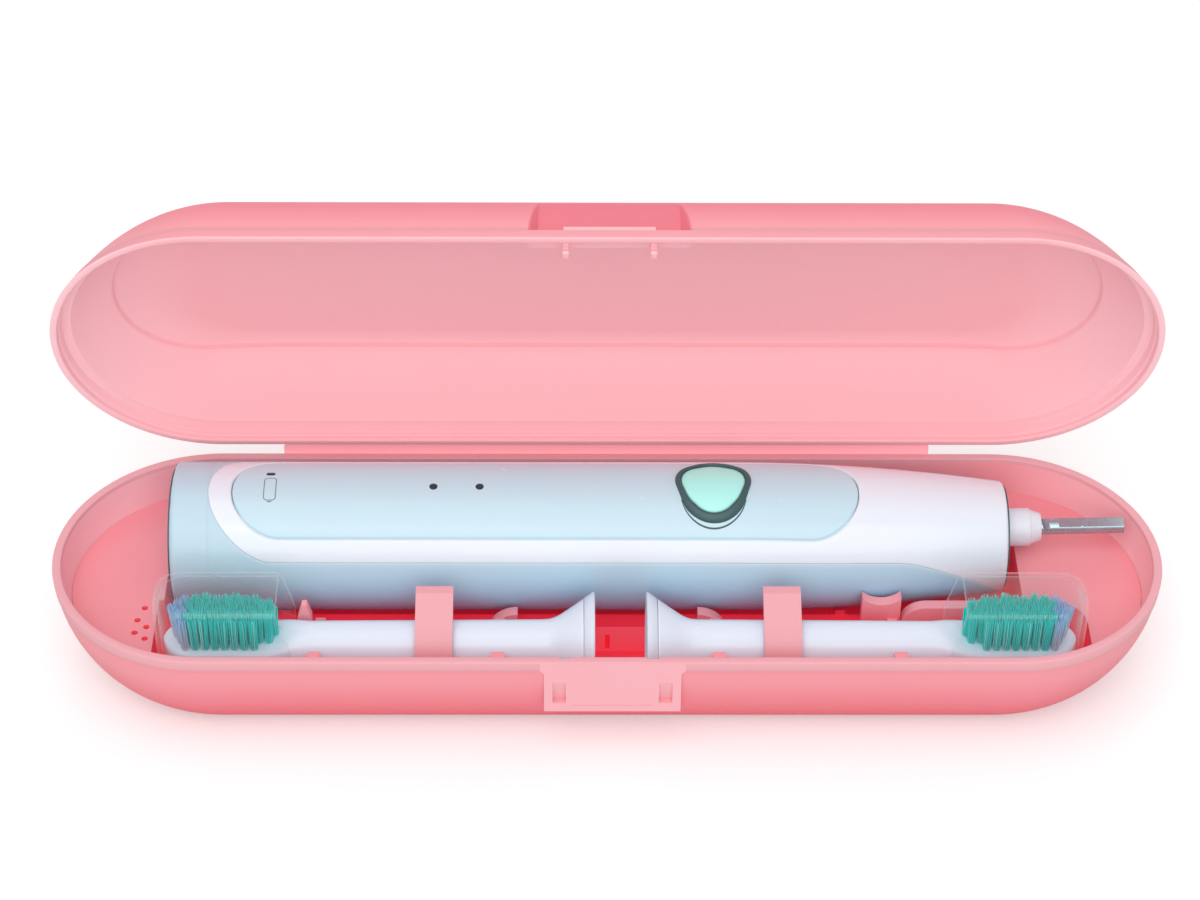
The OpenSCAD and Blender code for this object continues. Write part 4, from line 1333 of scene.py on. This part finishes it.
def filament(x, y, lean, top, turn):
    """One square filament that leans and narrows at its tip."""
    half = 0.11
    rings = []
    for level, width in ((0.0, 1.0), (0.5, 1.0), (0.96, 0.95), (1.0, 0.5)):
        z = PLATE_TOP - 0.1 + (top + 0.1) * level
        corners = [turn + k * math.pi / 2 for k in range(4)]
        rings.append(np.array([(x + lean[0] * level + half * width * math.cos(a),
                                y + lean[1] * level + half * width * math.sin(a), z) for a in corners]))
    return rings_to_mesh(rings, False, True)


def make_bristles(side, seed):
    """Each tuft is a bundle of thin filaments that splay a little at the top."""
    rng = np.random.default_rng(seed)
    place = head_place(side)
    wander = 0.09               # how far a filament's tip strays
    spread = 0.22               # how far the outer filaments of a tuft lean out, by their place in it
    uneven = 0.12               # of the filaments' heights
    groups = {"teal": [], "blue": [], "pale": []}
    bundle = [(0, 0)] + [(0.36 * math.cos(a), 0.36 * math.sin(a)) for a in np.arange(6) * math.pi / 3]
    bundle += [(0.68 * math.cos(a), 0.68 * math.sin(a)) for a in (np.arange(12) + 0.5) * math.pi / 6]
    for s, y in tuft_places():
        height = BRISTLE_L + 0.35 * math.cos(math.radians(s * 60)) - 0.03 * y * y
        for hx, hy in bundle:
            lean = rng.normal(0, wander, 2) + np.array([hx, hy]) * spread
            lean[0] += SPLAY * max(s - SPLAY_START, 0.0)
            top = height - abs(rng.normal(0, uneven)) - 0.15 * (hx * hx + hy * hy)
            turn = rng.uniform(0, math.pi / 2)
            edge = abs(y) > 3.2 and hy * y > 0.2
            pale = edge and rng.random() < 0.3
            kind = "blue" if s > BLUE_START else "pale" if pale else "teal"
            groups[kind].append(filament(s + hx, y + hy, lean, top, turn))
    for kind, mat, slot, replaced in (("teal", TEAL, "bristle_teal", (f"{side}_bristles",)),
                                      ("blue", BLUE_TUFT, "bristle_blue", (f"{side}_tip_bristles",)),
                                      ("pale", PALE_TUFT, "bristle_teal", ())):
        pair = joined(*groups[kind])
        new_piece(f"{side}_{kind}_filaments", pair, f"{side}_head", mat, slot, replaced, place, 60, False)


def fall(distance, r):
    """How far a quarter round of radius r has dropped at a distance past its start."""
    d = min(max(distance, 0.0), r)
    return r - math.sqrt(r * r - d * d)


def hood_outline(x, grow):
    """Cross-section of the hood at x as an open arch, from one lower edge over the top to the other."""
    end = HOOD_X1 + grow
    half = HOOD_HW + grow - fall(x - (end - HOOD_END_R), HOOD_END_R)
    top = HOOD_TOP + grow - fall(x - (end - HOOD_TOP_R), HOOD_TOP_R)
    corner = min(HOOD_CORNER + grow, half * 0.9)
    arc = np.linspace(0, math.pi / 2, 9)
    pts = [(-half, z) for z in np.linspace(HOOD_LOW, top - corner, 10)[:-1]]
    pts += [(-half + corner - corner * math.cos(a), top - corner + corner * math.sin(a)) for a in arc]
    pts += [(y, top) for y in np.linspace(-half + corner, half - corner, 10)[1:-1]]
    pts += [(half - corner + corner * math.sin(a), top - corner + corner * math.cos(a)) for a in arc]
    pts += [(half, z) for z in np.linspace(top - corner, HOOD_LOW, 10)[1:]]
    return pts


def hood_layer(grow):
    """The hood's outer or inner face; its edge at the neck slants back above the neck."""
    end = HOOD_X1 + grow
    bend = end - HOOD_END_R
    stations = list(np.linspace(HOOD_X0, bend, 18)) + eased(bend + 0.2, end - 0.02, 18, "high")
    rows = []
    for x in stations:
        share = max((bend - x) / (bend - HOOD_X0), 0.0)
        slant = HOOD_SLANT * share
        rows.append([(x + slant * max(0.0, z - SLANT_Z), y, z) for y, z in hood_outline(x, grow)])
    return np.array(rows)


def make_hood(side):
    """Clear hood, open below and at the neck."""
    outer = hood_layer(0.0)
    inner = hood_layer(-HOOD_T)
    rows, cols = outer.shape[:2]
    n = rows * cols
    verts = np.concatenate([outer.reshape(-1, 3), inner.reshape(-1, 3)])
    faces = grid_faces(rows, cols)
    faces += [tuple(i + n for i in reversed(f)) for f in grid_faces(rows, cols)]
    for c in range(cols - 1):
        a = (rows - 1) * cols + c
        faces.append((c, n + c, n + c + 1, c + 1))
        faces.append((a, a + 1, n + a + 1, n + a))
    for r in range(rows - 1):
        a = r * cols
        b = a + cols - 1
        faces.append((a, a + cols, n + a + cols, n + a))
        faces.append((b, n + b, n + b + cols, b + cols))
    new_piece(f"{side}_clear_hood", (verts, faces), f"{side}_cover", CLEAR, "clear_plastic",
              (f"{side}_hood",), head_place(side), 50)


# ------------------------------------------------------------------ stage

def make_floor():
    """White table: it keeps the shadow, and the camera sees it as bright as in the photograph."""
    n = Nodes("floor_white")
    n.to("Base Color", n.mix(n.noise(3.0), linear((228, 228, 228)), linear((224, 224, 224))))
    n.to("Roughness", 0.6)
    n.to("Specular IOR Level", 0.1)
    seen = n.add("ShaderNodeLightPath").outputs["Is Camera Ray"]
    n.to("Emission Strength", seen)
    n.to("Emission Color", (0.3, 0.3, 0.3, 1.0))
    half = 6.0
    mesh = bpy.data.meshes.new("floor")
    corners = [(-half, -half, 0), (half, -half, 0), (half, half, 0), (-half, half, 0)]
    mesh.from_pydata(corners, [], [(0, 1, 2, 3)])
    mesh.materials.append(n.mat)
    floor = bpy.data.objects.new("floor", mesh)
    scene.collection.objects.link(floor)


def make_lights():
    """An even white room, a broad lamp low in front, one above and a weak one behind."""
    world = bpy.data.worlds.new("studio")
    world.use_nodes = True
    back = world.node_tree.nodes["Background"]
    back.inputs["Color"].default_value = (1, 1, 1, 1)
    back.inputs["Strength"].default_value = 0.68
    scene.world = world
    for name, power, size, place in (("key", 2.6, 0.9, (-0.25, -0.3, 1.15)),
                                     ("front", 8.1, 1.2, (0.0, -1.12, 0.86)),
                                     ("back", 1.6, 0.8, (0.1, 0.8, 0.9))):
        light = bpy.data.lights.new(name, "AREA")
        light.energy = power
        light.size = size
        obj = bpy.data.objects.new(name, light)
        obj.location = place
        obj.rotation_euler = (Vector((0, 0, 0.02)) - Vector(place)).to_track_quat("-Z", "Y").to_euler()
        scene.collection.objects.link(obj)


def make_camera():
    """The photograph's view: from in front and above, a long lens."""
    width_px = 1200.0
    focal_px = 3075.73
    pitch = math.radians(39.69)
    yaw = math.radians(-0.716)
    roll = math.radians(0.517)
    place = Vector((-7.63, -467.2, 439.2)) * MM
    right = Vector((math.cos(yaw), math.sin(yaw), 0))
    ahead = Vector((-math.sin(yaw) * math.cos(pitch), math.cos(yaw) * math.cos(pitch), -math.sin(pitch)))
    up = right.cross(ahead)
    side = right * math.cos(roll) + up * math.sin(roll)
    head = up * math.cos(roll) - right * math.sin(roll)
    cam = bpy.data.cameras.new("camera")
    cam.sensor_width = 36.0
    cam.lens = focal_px / width_px * cam.sensor_width
    cam.clip_start = 0.01
    cam.clip_end = 20.0
    obj = bpy.data.objects.new("camera", cam)
    rotation = Matrix((side, head, -ahead)).transposed().to_4x4()
    obj.matrix_world = Matrix.Translation(place) @ rotation
    scene.collection.objects.link(obj)
    scene.camera = obj


dress_nodes()
make_base()
make_hinge()
make_lid()
make_thumb_pad()
soften_tray()
make_rear_skin()
make_front_skin()
make_shoulder()
make_shade_rings()
make_foot_cap()
make_panel()
make_button()
make_lamps()
make_collar()
smoothed(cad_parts["drive_shaft"].data, 30)
for seed, side in enumerate(HEAD_X):
    make_neck(side)
    make_bristles(side, 11 + seed)
    make_hood(side)
make_floor()
make_lights()
make_camera()
scene.view_settings.view_transform = "Standard"
